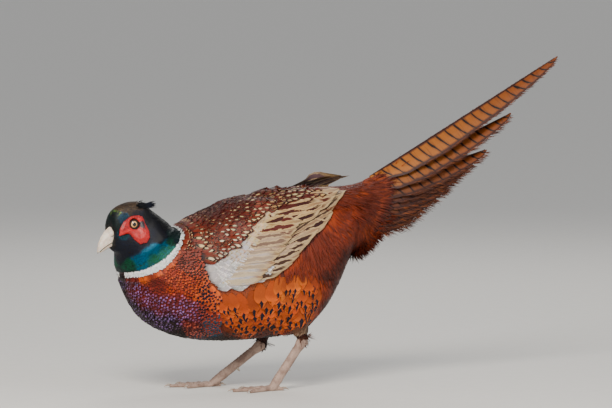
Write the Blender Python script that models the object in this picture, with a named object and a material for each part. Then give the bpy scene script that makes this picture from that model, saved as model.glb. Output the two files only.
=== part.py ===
# Common pheasant cock, life size, walking low to the left with its tail raised.
# Metres, +Z up, the floor at Z = 0. The bird faces -X and its left side is on -Y.
# The tables of the body are in millimetres, read off the side view, and MM turns them into metres.

import math
import random

import bmesh
import bpy
from mathutils import Matrix, Vector
from mathutils.bvhtree import BVHTree

MM = 0.001
GAP = 0.0003  # clear space kept between two nodes that touch
SIDES = {"left": -1.0, "right": 1.0}

# Body sections from the neck ring to the rump: the top and bottom point of each slanted
# section in the side view, and half its width.
TORSO = [
    (-197.0, 203.0, -270.5, 153.0, 40.0),
    (-178.0, 213.5, -268.5, 144.0, 48.0),
    (-155.0, 223.5, -261.5, 124.0, 56.0),
    (-130.0, 232.5, -247.0, 97.0, 62.0),
    (-104.0, 240.0, -222.0, 77.5, 66.0),
    (-75.0, 244.0, -182.0, 63.5, 68.5),
    (-42.0, 248.0, -135.0, 59.5, 68.5),
    (-12.0, 250.0, -90.0, 61.5, 65.0),
    (12.0, 250.5, -50.0, 66.0, 59.0),
    (30.0, 252.0, -20.0, 82.0, 50.0),
    (42.0, 255.0, 3.0, 112.0, 38.0),
    (52.0, 259.7, 25.0, 160.0, 26.0),
]
TORSO_SQUARENESS = 2.2
BELLY_FULLNESS = 0.06  # how much wider the section is below its middle than above

# The core that the rump feathers grow from, behind the torso.
RUMP = [
    (52.0, 259.7, 25.0, 160.0, 26.0),
    (70.0, 270.0, 48.0, 174.0, 22.5),
    (85.0, 278.0, 72.0, 204.0, 15.0),
]

HEAD_CENTRE = Vector((-260.4, -14.0, 209.8)) * MM  # between the eyes
HEAD_YAW = math.radians(22.0)  # turned to its left
HEAD_PITCH = math.radians(20.0)  # bill lowered
# Head sections in the head's own frame, forward and up, from the neck to the bill's root.
HEAD = [
    (-37.0, 5.0, 25.0, -30.0, 24.0),
    (-33.5, 13.0, 28.5, -26.5, 20.5),
    (-24.0, 20.3, 31.0, -23.5, 17.0),
    (-11.0, 24.3, 32.5, -21.3, 15.4),
    (2.0, 25.4, 33.5, -19.8, 14.2),
    (13.0, 23.4, 34.0, -18.8, 12.4),
    (20.0, 17.5, 34.3, -18.0, 10.4),
    (24.2, 8.5, 34.4, -17.4, 8.6),
]
EYE_SEAT = Vector((0.0, 17.0, 0.0)) * MM  # on the head's skin on the left side, in its frame
EYE_AXIS = Vector((0.24, 1.0, 0.05))  # the way the left eye looks
EYE_RADIUS = 6.6 * MM
EYE_DEPTH = 3.9 * MM  # of its centre under the skin
LID_HEIGHT = 0.35 * MM  # of the middle of the lids over the skin
LID_RADIUS = 5.2 * MM
LID_THICKNESS = 1.2 * MM

# Upper bill sections: forward, ridge height, edge height, half width.
BILL_UPPER = [
    (14.0, 3.0, -10.5, 6.5),
    (20.0, 6.0, -11.0, 7.4),
    (26.0, 5.6, -11.7, 7.0),
    (33.0, 3.4, -12.6, 6.0),
    (40.0, -0.8, -13.8, 4.9),
    (46.0, -6.6, -15.4, 3.4),
    (50.0, -12.6, -17.4, 1.9),
    (51.6, -17.0, -19.6, 0.7),
]
# Lower bill sections: forward, edge height, keel height, half width.
BILL_LOWER = [
    (14.0, -11.5, -17.0, 6.0),
    (22.0, -12.0, -18.0, 6.3),
    (31.0, -13.1, -18.6, 5.3),
    (39.0, -14.5, -19.0, 4.1),
    (45.0, -16.2, -19.4, 2.7),
    (48.0, -18.0, -19.8, 1.2),
]
NOSTRIL_FLAP = Vector((25.0, 5.0, -2.2)) * MM  # centre of the swelling over the nostril
NOSTRIL_FLAP_SIZE = Vector((6.8, 3.1, 3.9)) * MM

# Outline of the bare red skin round the eye: angle from straight ahead, upwards, and reach.
WATTLE = [
    (-15.0, 23.5),
    (15.0, 17.0),
    (50.0, 11.0),
    (90.0, 9.6),
    (130.0, 10.6),
    (165.0, 14.5),
    (200.0, 13.5),
    (232.0, 19.0),
    (258.0, 25.0),
    (282.0, 24.0),
    (305.0, 15.0),
    (328.0, 13.5),
]
WATTLE_INNER = 7.0 * MM
WATTLE_GAP = 0.2 * MM
WATTLE_THICKNESS = 1.9 * MM
WATTLE_BULGE = 1.6 * MM  # added over the hanging lower lobe

MOUTH_LINE = [(16.0, -11.8), (21.0, -11.6), (27.0, -12.3), (37.0, -13.8)]  # forward, up
MOUTH_WIDTH = 0.7 * MM

EAR_TUFT_ROOT = Vector((-22.0, 11.0, 15.0)) * MM
EAR_TUFT_TIP = Vector((-40.5, 13.5, 8.5)) * MM
EAR_TUFT_LOCKS = 3

# Folded wing, in the side view: the lower edge from the shoulder to the tip.
WING_LOWER_EDGE = [
    (-176.0, 163.0),
    (-172.0, 141.0),
    (-155.0, 129.5),
    (-128.0, 130.5),
    (-105.0, 137.5),
    (-66.0, 161.0),
    (-40.0, 184.0),
    (-22.0, 208.0),
    (-6.0, 228.0),
]
WING_TOP_ANGLE = math.radians(20.0)  # the upper edge, from the middle of the back
WING_TOP_STATIONS = (1.9, 8.9)  # where the upper edge starts and ends along the body
WING_THICKNESS = 4.4 * MM
WING_EDGE_THICKNESS = 1.2 * MM
# Tiers of vanes from the lowest to the topmost. Each is a row of feathers between its first
# and last one, given by root and tip in the side view, with a width, the height of root and
# tip over the body, and the thickness.
WING_TIERS = [
    {"name": "primaries", "count": 3, "width": 14, "lift": (1.4, 3.6), "thickness": 1.2,
     "first": ((-62, 216), (21, 252)), "last": ((-66, 198), (5, 235))},
    {"name": "secondaries", "count": 5, "width": 20, "lift": (1.8, 3.4), "thickness": 1.2,
     "first": ((-78, 184), (-8, 217)), "last": ((-132, 145), (-76, 154))},
    {"name": "tertials", "count": 3, "width": 22, "lift": (3.2, 6.2), "thickness": 1.3,
     "first": ((-80, 236), (9, 249)), "last": ((-96, 206), (-24, 227))},
    {"name": "greater coverts", "count": 4, "width": 22, "lift": (2.8, 5.6), "thickness": 1.3,
     "first": ((-104, 200), (-52, 209)), "last": ((-150, 143), (-105, 146))},
    {"name": "median coverts", "count": 4, "width": 19, "lift": (3.2, 6.2), "thickness": 1.3,
     "first": ((-128, 199), (-88, 206)), "last": ((-167, 153), (-134, 145))},
    {"name": "scapulars", "count": 4, "width": 22, "lift": (2.4, 7.2), "thickness": 1.3,
     "first": ((-140, 228), (-95, 227)), "last": ((-176, 188), (-163, 168))},
    {"name": "upper scapulars", "count": 4, "width": 21, "lift": (2.8, 7.0), "thickness": 1.3,
     "first": ((-96, 242), (-50, 245)), "last": ((-163, 214), (-140, 200))},
]
WING_CLEARANCE = 1.6 * MM  # from the middle of the back
RIGHT_WING_TIP_RAISE = 11.0  # the far wing's longest feathers stand out over the back

# Tail feathers of one side from the middle outwards: the tip in the side view.
TAIL_TIPS = [
    (300.5, 409.3),
    (239.0, 338.5),
    (207.0, 293.0),
    (189.0, 276.5),
    (171.5, 262.0),
    (156.0, 248.0),
    (139.0, 234.0),
    (123.0, 221.0),
    (110.0, 210.0),
]
TAIL_ROOT = (84.0, 279.0)
TAIL_ROOT_STEP = (-0.9, -8.0)
TAIL_WIDTHS = (25.0, 26.0, 25.0, 24.0, 23.0, 22.0, 20.0, 18.0, 16.0)
TAIL_TILT = (44.0, 4.6)  # of the first feather from level, and what each next one adds
TAIL_RIDGE = 0.7  # from the middle of the tail to the inner edge of the first feather
TAIL_STEP = 1.45  # each feather lies this much further out
TAIL_THICKNESS = (1.1, 0.55)

# Rump locks: hair-like feathers over the tail's root, root and tip in the side view.
RUMP_LOCKS = [
    ((58, 262), (98, 283)),
    ((64, 257), (108, 268)),
    ((56, 250), (106, 253)),
    ((62, 243), (110, 239)),
    ((50, 238), (104, 224)),
    ((56, 228), (101, 208)),
    ((46, 226), (92, 195)),
    ((50, 214), (80, 183)),
    ((40, 212), (70, 171)),
    ((40, 198), (59, 162)),
    ((31, 194), (46, 156)),
]
RUMP_LOCK_WIDTH = 11.0
RUMP_LOCK_SPREAD = (1.0, 5.5)  # of root and tip over the rump's core

# Legs: hock, the joint above the foot, and the toes' heading, for each side.
LEGS = {
    "left": {"hock": (-40.0, -32.0, 61.0), "ankle": (-72.0, -33.5, 14.0), "heading": 4.0},
    "right": {"hock": (-77.0, 32.0, 51.0), "ankle": (-126.0, 33.0, 14.0), "heading": -3.0},
}
THIGH_TOP = {"left": (-58.0, -40.0, 112.0), "right": (-66.0, 40.0, 106.0)}
SHANK_RADIUS = 4.6 * MM
SHANK_DEPTH = 1.25  # front to back against its width
HOCK_RADIUS = 6.4 * MM
SCUTES = 10
SCUTE_HEIGHT = 0.6 * MM
TOES = {  # angle outwards from the heading, length, half width at the root
    "inner": (-32.0, 34.0, 3.7),
    "middle": (0.0, 48.0, 4.0),
    "outer": (31.0, 37.0, 3.7),
    "hind": (172.0, 15.0, 2.9),
}
TOE_HEIGHT = 6.6 * MM
TOE_PLATE = 0.45 * MM
CLAW_LENGTH = 10.0 * MM
CLAW_RADIUS = 1.9 * MM
SPUR_LENGTH = 10.0 * MM
SPUR_RADIUS = 2.6 * MM

COLOURS = {  # colour, roughness
    "neck_gloss": ((0.010, 0.035, 0.045), 0.35),
    "breast": ((0.22, 0.045, 0.020), 0.45),
    "wing_buff": ((0.50, 0.42, 0.33), 0.6),
    "rump_rust": ((0.30, 0.065, 0.010), 0.6),
    "tail_gold": ((0.40, 0.16, 0.04), 0.55),
    "horn": ((0.72, 0.62, 0.50), 0.4),
    "red_skin": ((0.62, 0.010, 0.012), 0.5),
    "eye": ((0.75, 0.50, 0.20), 0.1),
    "leg_scale": ((0.42, 0.34, 0.30), 0.55),
    "thigh": ((0.17, 0.085, 0.045), 0.7),
}


def clear_scene():
    for obj in list(bpy.data.objects):
        bpy.data.objects.remove(obj)


def material(name):
    found = bpy.data.materials.get(name)
    if found:
        return found
    colour, roughness = COLOURS[name]
    made = bpy.data.materials.new(name)
    made.use_nodes = True
    shader = made.node_tree.nodes["Principled BSDF"]
    shader.inputs["Base Color"].default_value = (*colour, 1.0)
    shader.inputs["Roughness"].default_value = roughness
    made.diffuse_color = (*colour, 1.0)
    return made


def new_object(name, verts, faces, finish):
    """An object of these points and faces, with its faces turned outwards."""
    mesh = bpy.data.meshes.new(name)
    mesh.from_pydata([tuple(v) for v in verts], [], faces)
    bm = bmesh.new()
    bm.from_mesh(mesh)
    bmesh.ops.triangulate(bm, faces=[f for f in bm.faces if len(f.verts) > 4])
    bmesh.ops.recalc_face_normals(bm, faces=bm.faces)
    bm.to_mesh(mesh)
    bm.free()
    mesh.materials.append(material(finish))
    obj = bpy.data.objects.new(name, mesh)
    bpy.context.scene.collection.objects.link(obj)
    return obj


def smooth_value(table, t):
    """A row between the table's rows, on a smooth curve through all of them."""
    last = len(table) - 1
    t = min(max(t, 0.0), float(last))
    k = min(int(t), last - 1)
    f = t - k
    rows = [table[min(max(k + i, 0), last)] for i in (-1, 0, 1, 2)]
    found = []
    for p0, p1, p2, p3 in zip(*rows):
        slope1 = (p2 - p0) / 2 if k > 0 else p2 - p1
        slope2 = (p3 - p1) / 2 if k + 2 <= last else p2 - p1
        a = 2 * f**3 - 3 * f**2 + 1
        b = f**3 - 2 * f**2 + f
        c = -2 * f**3 + 3 * f**2
        d = f**3 - f**2
        found.append(a * p1 + b * slope1 + c * p2 + d * slope2)
    return found


def loft(name, rings, finish):
    """A closed skin through rings of equal count, with flat ends."""
    count = len(rings[0])
    verts = [p for ring in rings for p in ring]
    faces = []
    for i in range(len(rings) - 1):
        for j in range(count):
            k = (j + 1) % count
            faces.append((i * count + j, i * count + k, (i + 1) * count + k, (i + 1) * count + j))
    faces.append(tuple(range(count)))
    faces.append(tuple((len(rings) - 1) * count + j for j in range(count)))
    return new_object(name, verts, faces, finish)


def plate(name, rows, thicknesses, finish):
    """A thin closed plate on rows of points, split into triangles alike on both faces."""
    n, m = len(rows), len(rows[0])
    upper, lower = [], []
    for i in range(n):
        for j in range(m):
            along = rows[min(i + 1, n - 1)][j] - rows[max(i - 1, 0)][j]
            across = rows[i][min(j + 1, m - 1)] - rows[i][max(j - 1, 0)]
            normal = along.cross(across).normalized()
            upper.append(rows[i][j] + normal * thicknesses[i] / 2)
            lower.append(rows[i][j] - normal * thicknesses[i] / 2)
    base = n * m
    faces = []
    for i in range(n - 1):
        for j in range(m - 1):
            a, b, c, d = i * m + j, i * m + j + 1, (i + 1) * m + j + 1, (i + 1) * m + j
            faces += [(a, b, c), (a, c, d)]
            faces += [(base + a, base + c, base + b), (base + a, base + d, base + c)]
    rim = [j for j in range(m)]
    rim += [i * m + m - 1 for i in range(1, n)]
    rim += [(n - 1) * m + j for j in range(m - 2, -1, -1)]
    rim += [i * m for i in range(n - 2, 0, -1)]
    for k, a in enumerate(rim):
        b = rim[(k + 1) % len(rim)]
        faces.append((a, base + a, base + b, b))
    return new_object(name, upper + lower, faces, finish)


def islands_volume(bm, faces):
    total = 0.0
    for face in faces:
        points = [v.co for v in face.verts]
        for i in range(1, len(points) - 1):
            total += points[0].dot(points[i].cross(points[i + 1])) / 6
    return total


def keep_largest(obj):
    """Drops every closed surface of the mesh except the largest."""
    bm = bmesh.new()
    bm.from_mesh(obj.data)
    left = set(bm.faces)
    islands = []
    while left:
        stack = [left.pop()]
        island = []
        while stack:
            face = stack.pop()
            island.append(face)
            for edge in face.edges:
                for near in edge.link_faces:
                    if near in left:
                        left.remove(near)
                        stack.append(near)
        islands.append(island)
    islands.sort(key=lambda island: islands_volume(bm, island))
    for island in islands[:-1]:
        bmesh.ops.delete(bm, geom=island, context="FACES")
    bm.to_mesh(obj.data)
    bm.free()


def signed_volume(mesh):
    """The mesh's volume, or nothing where its surface isn't closed."""
    bm = bmesh.new()
    bm.from_mesh(mesh)
    whole = all(len(edge.link_faces) == 2 for edge in bm.edges)
    volume = bm.calc_volume(signed=True) if whole and bm.faces else None
    bm.free()
    return volume


def boolean(obj, operation, others):
    """Unites the others with the object, or cuts them out of it, and removes them."""
    group = bpy.data.collections.new("operands")
    bpy.context.scene.collection.children.link(group)
    for other in others:
        bpy.context.scene.collection.objects.unlink(other)
        group.objects.link(other)
    before = obj.data
    for solver in ("EXACT", "MANIFOLD"):  # the exact solver fails on some of the crossing vanes
        modifier = obj.modifiers.new("shape", "BOOLEAN")
        modifier.operand_type = "COLLECTION"
        modifier.collection = group
        modifier.operation = operation
        modifier.solver = solver
        bpy.context.view_layer.update()
        graph = bpy.context.evaluated_depsgraph_get()
        obj.data = bpy.data.meshes.new_from_object(obj.evaluated_get(graph))
        obj.modifiers.clear()
        keep_largest(obj)
        if signed_volume(obj.data):
            break
        obj.data = before
    else:
        raise ValueError(obj.name + " could not be shaped")
    for other in list(group.objects):
        bpy.data.objects.remove(other)
    bpy.data.collections.remove(group)
    return obj


def join(base, pieces):
    """One closed body of the base and all the pieces that are rooted in it."""
    return boolean(base, "UNION", pieces)


def grown(obj, distance):
    """A helper copy of the object, larger all round by the distance."""
    copy = obj.copy()
    copy.data = obj.data.copy()
    copy.name = "room_for_" + obj.name
    bm = bmesh.new()
    bm.from_mesh(copy.data)
    bm.normal_update()
    moves = [v.normal * distance for v in bm.verts]
    for vert, move in zip(bm.verts, moves):
        vert.co += move
    bm.to_mesh(copy.data)
    bm.free()
    bpy.context.scene.collection.objects.link(copy)
    return copy


def cut_clear(obj, *neighbours):
    """Takes the neighbours' space and the gap round them out of the object."""
    return boolean(obj, "DIFFERENCE", [grown(neighbour, GAP * 1.15) for neighbour in neighbours])


def shade_smooth(obj, degrees=40.0):
    obj.data.shade_smooth()
    obj.data.set_sharp_from_angle(angle=math.radians(degrees))


def superpower(value, squareness):
    return math.copysign(abs(value) ** (2.0 / squareness), value)


def section_ring(centre, half, side, width, squareness, count, fullness=0.0):
    """Points round a section: half points to its top and side to its left."""
    ring = []
    for j in range(count):
        a = 2 * math.pi * j / count
        up = superpower(math.cos(a), squareness)
        out = superpower(math.sin(a), squareness) * (1 - fullness * math.cos(a))
        ring.append(centre + half * up + side * (width * out))
    return ring


def torso_section(u, table=TORSO):
    tx, tz, bx, bz, width = smooth_value(table, u)
    top, bottom = Vector((tx, 0, tz)) * MM, Vector((bx, 0, bz)) * MM
    return (top + bottom) / 2, (top - bottom) / 2, width * MM


def body_point(u, angle, side):
    """A point of the torso's skin: station u, and the angle down from the middle of the back."""
    centre, half, width = torso_section(u)
    up = superpower(math.cos(angle), TORSO_SQUARENESS)
    out = superpower(math.sin(angle), TORSO_SQUARENESS) * (1 - BELLY_FULLNESS * math.cos(angle))
    return centre + half * up + Vector((0, side * width * out, 0))


def body_normal(u, angle, side):
    step = 0.02
    along = body_point(u + step, angle, side) - body_point(u - step, angle, side)
    round_it = body_point(u, angle + step, side) - body_point(u, angle - step, side)
    normal = along.cross(round_it).normalized()
    return normal if normal.y * side > 0 else -normal


def body_place(x, z):
    """Station and angle of the skin's point that the side view shows at x, z in millimetres."""
    low, high = 0.0, float(len(TORSO) - 1)
    for _ in range(30):
        mid = (low + high) / 2
        tx, tz, bx, bz, _width = smooth_value(TORSO, mid)
        behind = (x - bx) * (tz - bz) - (z - bz) * (tx - bx)
        low, high = (mid, high) if behind > 0 else (low, mid)
    u = (low + high) / 2
    tx, tz, bx, bz, _width = smooth_value(TORSO, u)
    hx, hz = (tx - bx) / 2, (tz - bz) / 2
    up = ((x - (tx + bx) / 2) * hx + (z - (tz + bz) / 2) * hz) / (hx * hx + hz * hz)
    up = min(max(up, -0.999), 0.999)
    return u, math.acos(math.copysign(abs(up) ** (TORSO_SQUARENESS / 2), up))


def build_torso():
    stations = 23
    last = len(TORSO) - 1
    rings = []
    for i in range(stations):
        centre, half, width = torso_section(last * i / (stations - 1))
        left = Vector((0, -1, 0))
        rings.append(section_ring(centre, half, left, width, TORSO_SQUARENESS, 22, BELLY_FULLNESS))
    torso = loft("torso", rings, "breast")
    shade_smooth(torso)
    return torso


def head_matrix():
    forward = Vector((-math.cos(HEAD_YAW) * math.cos(HEAD_PITCH),
                      -math.sin(HEAD_YAW) * math.cos(HEAD_PITCH),
                      -math.sin(HEAD_PITCH)))
    left = Vector((math.sin(HEAD_YAW), -math.cos(HEAD_YAW), 0))
    up = forward.cross(left)
    axes = Matrix((forward, left, up)).transposed()
    return Matrix.Translation(HEAD_CENTRE) @ axes.to_4x4()


def head_section(u):
    """Centre, top half and half width of a head section, in the head's frame."""
    tf, tu, bf, bu, width = smooth_value(HEAD, u)
    top, bottom = Vector((tf, 0, tu)) * MM, Vector((bf, 0, bu)) * MM
    return (top + bottom) / 2, (top - bottom) / 2, width * MM


def to_world(obj, matrix):
    obj.data.transform(matrix)
    obj.data.update()
    return obj


def build_head():
    stations = 15
    last = len(HEAD) - 1
    rings = []
    for i in range(stations):
        centre, half, width = head_section(last * i / (stations - 1))
        rings.append(section_ring(centre, half, Vector((0, 1, 0)), width, 2.05, 22))
    return loft("head", rings, "neck_gloss")


def build_neck():
    """Fills the stretch from the torso's first section to the head's first one, turning as it goes."""
    centre0, half0, width0 = torso_section(0)
    matrix = head_matrix()
    local_centre, local_half, width1 = head_section(0)
    centre1 = matrix @ local_centre
    turn = matrix.to_3x3()
    half1 = turn @ local_half
    side0, side1 = Vector((0, -1, 0)), turn @ Vector((0, 1, 0))
    out0 = half0.cross(side0).normalized()
    out1 = half1.cross(side1).normalized()
    if out0.z < 0:
        out0 = -out0
    if out1.z < 0:
        out1 = -out1
    start, end = centre0 + out0 * GAP, centre1 - out1 * GAP
    reach = (end - start).length / 3
    points = [start, start + out0 * reach, end - out1 * reach, end]
    rings = []
    steps = 6
    for i in range(steps + 1):
        t = i / steps
        s = 1 - t
        centre = points[0] * s**3 + points[1] * 3 * s * s * t + points[2] * 3 * s * t * t + points[3] * t**3
        half = half0.lerp(half1, t)
        side = side0.lerp(side1, t).normalized()
        width = width0 + (width1 - width0) * t
        rings.append(section_ring(centre, half, side, width, 2.2 - 0.15 * t, 22, BELLY_FULLNESS * s))
    neck = loft("neck", rings, "neck_gloss")
    shade_smooth(neck)
    return neck


def bill_ring(forward, ridge, edge, width, upper):
    """A bill section: a ridge with sloping sides and a nearly flat mouth side."""
    middle = ridge + (edge - ridge) * 0.42
    hollow = 1.0 if upper else -1.0
    shape = [(0, ridge), (width * 0.55, ridge + (middle - ridge) * 0.45), (width * 0.92, middle),
             (width, edge), (width * 0.5, edge + 0.5 * hollow), (0, edge + 0.7 * hollow)]
    mirrored = [(-y, z) for y, z in shape[-2:0:-1]]
    return [Vector((forward, y, z)) * MM for y, z in shape + mirrored]


def ellipsoid(name, centre, size, fineness):
    bm = bmesh.new()
    bmesh.ops.create_icosphere(bm, subdivisions=fineness, radius=1.0)
    place = Matrix.Translation(centre) @ Matrix.Diagonal((*size, 1))
    bmesh.ops.transform(bm, matrix=place, verts=bm.verts)
    mesh = bpy.data.meshes.new(name)
    bm.to_mesh(mesh)
    bm.free()
    obj = bpy.data.objects.new(name, mesh)
    bpy.context.scene.collection.objects.link(obj)
    return obj


def build_bill():
    upper_rings = [bill_ring(f, top, edge, w, True) for f, top, edge, w in BILL_UPPER]
    upper = loft("bill_upper", upper_rings, "horn")
    flaps = []
    for side in (-1, 1):
        centre = Vector((NOSTRIL_FLAP.x, side * NOSTRIL_FLAP.y, NOSTRIL_FLAP.z))
        flaps.append(ellipsoid("flap", centre, NOSTRIL_FLAP_SIZE, 2))
    join(upper, flaps)
    for side in (-1, 1):  # the nostril is a slit along the flap's lower edge
        shift = Vector((2.0, side * 2.6, -3.0)) * MM
        centre = Vector((NOSTRIL_FLAP.x, side * NOSTRIL_FLAP.y, NOSTRIL_FLAP.z)) + shift
        boolean(upper, "DIFFERENCE", [ellipsoid("slit", centre, Vector((3.4, 1.7, 0.9)) * MM, 1)])
    lower_rings = [bill_ring(f, keel, edge, w, False) for f, edge, keel, w in BILL_LOWER]
    lower = loft("bill_lower", lower_rings, "horn")
    return upper, lower


def eye_frame(side):
    """The seat of the eye on the skin, with its axis, forward and up directions."""
    seat = Vector((EYE_SEAT.x, side * EYE_SEAT.y, EYE_SEAT.z))
    axis = Vector((EYE_AXIS.x, side * EYE_AXIS.y, EYE_AXIS.z)).normalized()
    forward = (Vector((1, 0, 0)) - axis * axis.x).normalized()
    up = axis.cross(forward)
    return seat, axis, forward, up if up.z > 0 else -up


def build_eye(side_name):
    seat, axis, _forward, _up = eye_frame(-SIDES[side_name])
    bm = bmesh.new()
    bmesh.ops.create_uvsphere(bm, u_segments=14, v_segments=8, radius=EYE_RADIUS)
    turn = axis.to_track_quat("Z", "Y").to_matrix().to_4x4()
    bmesh.ops.transform(bm, matrix=Matrix.Translation(seat - axis * EYE_DEPTH) @ turn, verts=bm.verts)
    mesh = bpy.data.meshes.new("eye_" + side_name)
    bm.to_mesh(mesh)
    bm.free()
    mesh.materials.append(material("eye"))
    obj = bpy.data.objects.new("eye_" + side_name, mesh)
    bpy.context.scene.collection.objects.link(obj)
    obj.data.shade_smooth()
    return obj


def build_lid(side):
    """The lids: a thin ring round the eye, sunk half into the head."""
    count, tube = 14, 5
    seat, axis, forward, up = eye_frame(side)
    verts, faces = [], []
    for i in range(count):
        a = 2 * math.pi * i / count
        reach = forward * (math.cos(a) * LID_RADIUS * 1.05) + up * (math.sin(a) * LID_RADIUS * 0.92)
        outward = reach.normalized()
        for k in range(tube):
            b = 2 * math.pi * k / tube
            rise = (outward * math.cos(b) + axis * math.sin(b)) * LID_THICKNESS
            verts.append(seat + axis * LID_HEIGHT + reach + rise)
            i2, k2 = (i + 1) % count, (k + 1) % tube
            faces.append((i * tube + k, i * tube + k2, i2 * tube + k2, i2 * tube + k))
    return new_object("lid", verts, faces, "neck_gloss")


def build_mouth_line():
    """The slit between the two halves of the bill, carried back to the gape."""
    rows = []
    for forward, height in MOUTH_LINE:
        rows.append([Vector((forward, y, height)) * MM for y in (-16.0, -8.0, 0.0, 8.0, 16.0)])
    slit = plate("mouth_line", rows, [MOUTH_WIDTH] * len(rows), "neck_gloss")
    slit.hide_render = True
    return slit


def surface_of(*objects):
    bm = bmesh.new()
    for obj in objects:
        bm.from_mesh(obj.data)
    tree = BVHTree.FromBMesh(bm)
    bm.free()
    return tree


def build_wattle(side_name, tree):
    """Bare red skin: a ring of raised folds round the eye, with a lobe that hangs below it."""
    side = -SIDES[side_name]
    columns, rows = 22, 4
    angles = [a for a, _ in WATTLE] + [WATTLE[0][0] + 360]
    reach = [(r,) for _, r in WATTLE] + [(WATTLE[0][1],)]
    grid_in, grid_out = [], []
    for i in range(columns):
        angle = WATTLE[0][0] + 360 * i / columns
        k = max(j for j in range(len(WATTLE)) if angles[j] <= angle)
        along = k + (angle - angles[k]) / (angles[k + 1] - angles[k])
        outer = smooth_value(reach, along)[0] * MM
        direction = Vector((math.cos(math.radians(angle)), 0, math.sin(math.radians(angle))))
        low = max(0.0, -direction.z)
        inner_row, outer_row = [], []
        for j in range(rows):
            s = j / (rows - 1)
            distance = WATTLE_INNER + (outer - WATTLE_INNER) * s
            flat = Vector((0, side * EYE_SEAT.y, 0)) + direction * distance
            hit, normal, _index, _distance = tree.ray_cast(
                Vector((flat.x, side * 60 * MM, flat.z)), Vector((0, -side, 0)))
            if hit is None:
                hit, normal, _index, _distance = tree.find_nearest(flat + Vector((0, side * 12 * MM, 0)))
            fold = 0.35 * MM * math.sin(9 * math.radians(angle) + 2.5 * s)
            swell = math.sin(math.pi * min(1.0, 0.12 + s * 0.88)) ** 0.6
            thick = 0.6 * MM + (WATTLE_THICKNESS + fold + WATTLE_BULGE * low * s) * swell
            inner_row.append(hit + normal * WATTLE_GAP)
            outer_row.append(hit + normal * (WATTLE_GAP + thick))
        grid_in.append(inner_row)
        grid_out.append(outer_row)
    verts = [p for row in grid_out for p in row] + [p for row in grid_in for p in row]
    base = columns * rows
    faces = []
    for i in range(columns):
        i2 = (i + 1) % columns
        for j in range(rows - 1):
            a, b, c, d = i * rows + j, i * rows + j + 1, i2 * rows + j + 1, i2 * rows + j
            faces += [(a, b, c), (a, c, d)]
            faces += [(base + a, base + c, base + b), (base + a, base + d, base + c)]
        for j in (0, rows - 1):
            a, b = i * rows + j, i2 * rows + j
            faces.append((a, base + a, base + b, b))
    return new_object("wattle_" + side_name, verts, faces, "red_skin")


def build_ear_tuft(side_name):
    """The short horn of black feathers behind the crown, as tapered locks."""
    side = -SIDES[side_name]
    locks = []
    for i in range(EAR_TUFT_LOCKS):
        spread = (i - (EAR_TUFT_LOCKS - 1) / 2) * 2.0 * MM
        root = Vector((EAR_TUFT_ROOT.x, side * EAR_TUFT_ROOT.y, EAR_TUFT_ROOT.z - spread * 1.1))
        out = side * (EAR_TUFT_TIP.y + spread * 0.4)
        tip = Vector((EAR_TUFT_TIP.x + abs(spread), out, EAR_TUFT_TIP.z - spread * 1.6))
        rows = []
        for k, width in enumerate((2.6, 2.8, 1.9, 0.5)):
            s = k / 3
            middle = root.lerp(tip, s) + Vector((0, side, 1.0)) * (math.sin(math.pi * s) * 1.2 * MM)
            across = Vector((0.25, 0, 1)).normalized() * width * MM
            rows.append([middle - across, middle + Vector((0, side * 0.8 * MM, 0)), middle + across])
        locks.append(plate("lock", rows, [2.0 * MM, 1.8 * MM, 1.3 * MM, 0.6 * MM], "neck_gloss"))
    tuft = join(locks[0], locks[1:])
    tuft.name = "ear_tuft_" + side_name
    return tuft


def build_head_nodes(neck):
    head = build_head()
    upper, lower = build_bill()
    plain_head, plain_neck = grown(head, 0.0), grown(neck, 0.0)
    to_world(plain_neck, head_matrix().inverted())
    bare = surface_of(head, upper, plain_neck)
    join(head, [build_lid(side) for side in (-1, 1)])
    cut_clear(upper, lower)
    eyes = [build_eye(name) for name in SIDES]
    cut_clear(head, upper, lower, *eyes)
    boolean(head, "DIFFERENCE", [build_mouth_line()])
    wattles = [build_wattle(name, bare) for name in SIDES]
    tufts = [build_ear_tuft(name) for name in SIDES]
    for piece in [*wattles, *tufts]:
        cut_clear(piece, plain_head, plain_neck)
    bpy.data.objects.remove(plain_head)
    bpy.data.objects.remove(plain_neck)
    nodes = [head, upper, lower, *eyes, *wattles, *tufts]
    for obj in nodes:
        to_world(obj, head_matrix())
    for obj in [head, upper, lower, *wattles]:
        shade_smooth(obj)
    return nodes


def wing_place(s, t, side_shift=0.0):
    """Station and angle of the folded wing: s from the shoulder to the tip, t from the top down."""
    x, z = smooth_value(WING_LOWER_EDGE, s * (len(WING_LOWER_EDGE) - 1))
    low_u, low_angle = body_place(x + side_shift, z)
    first, last = WING_TOP_STATIONS
    top_u = first + (last - first) * s
    return top_u + (low_u - top_u) * t, WING_TOP_ANGLE + (low_angle - WING_TOP_ANGLE) * t


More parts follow.
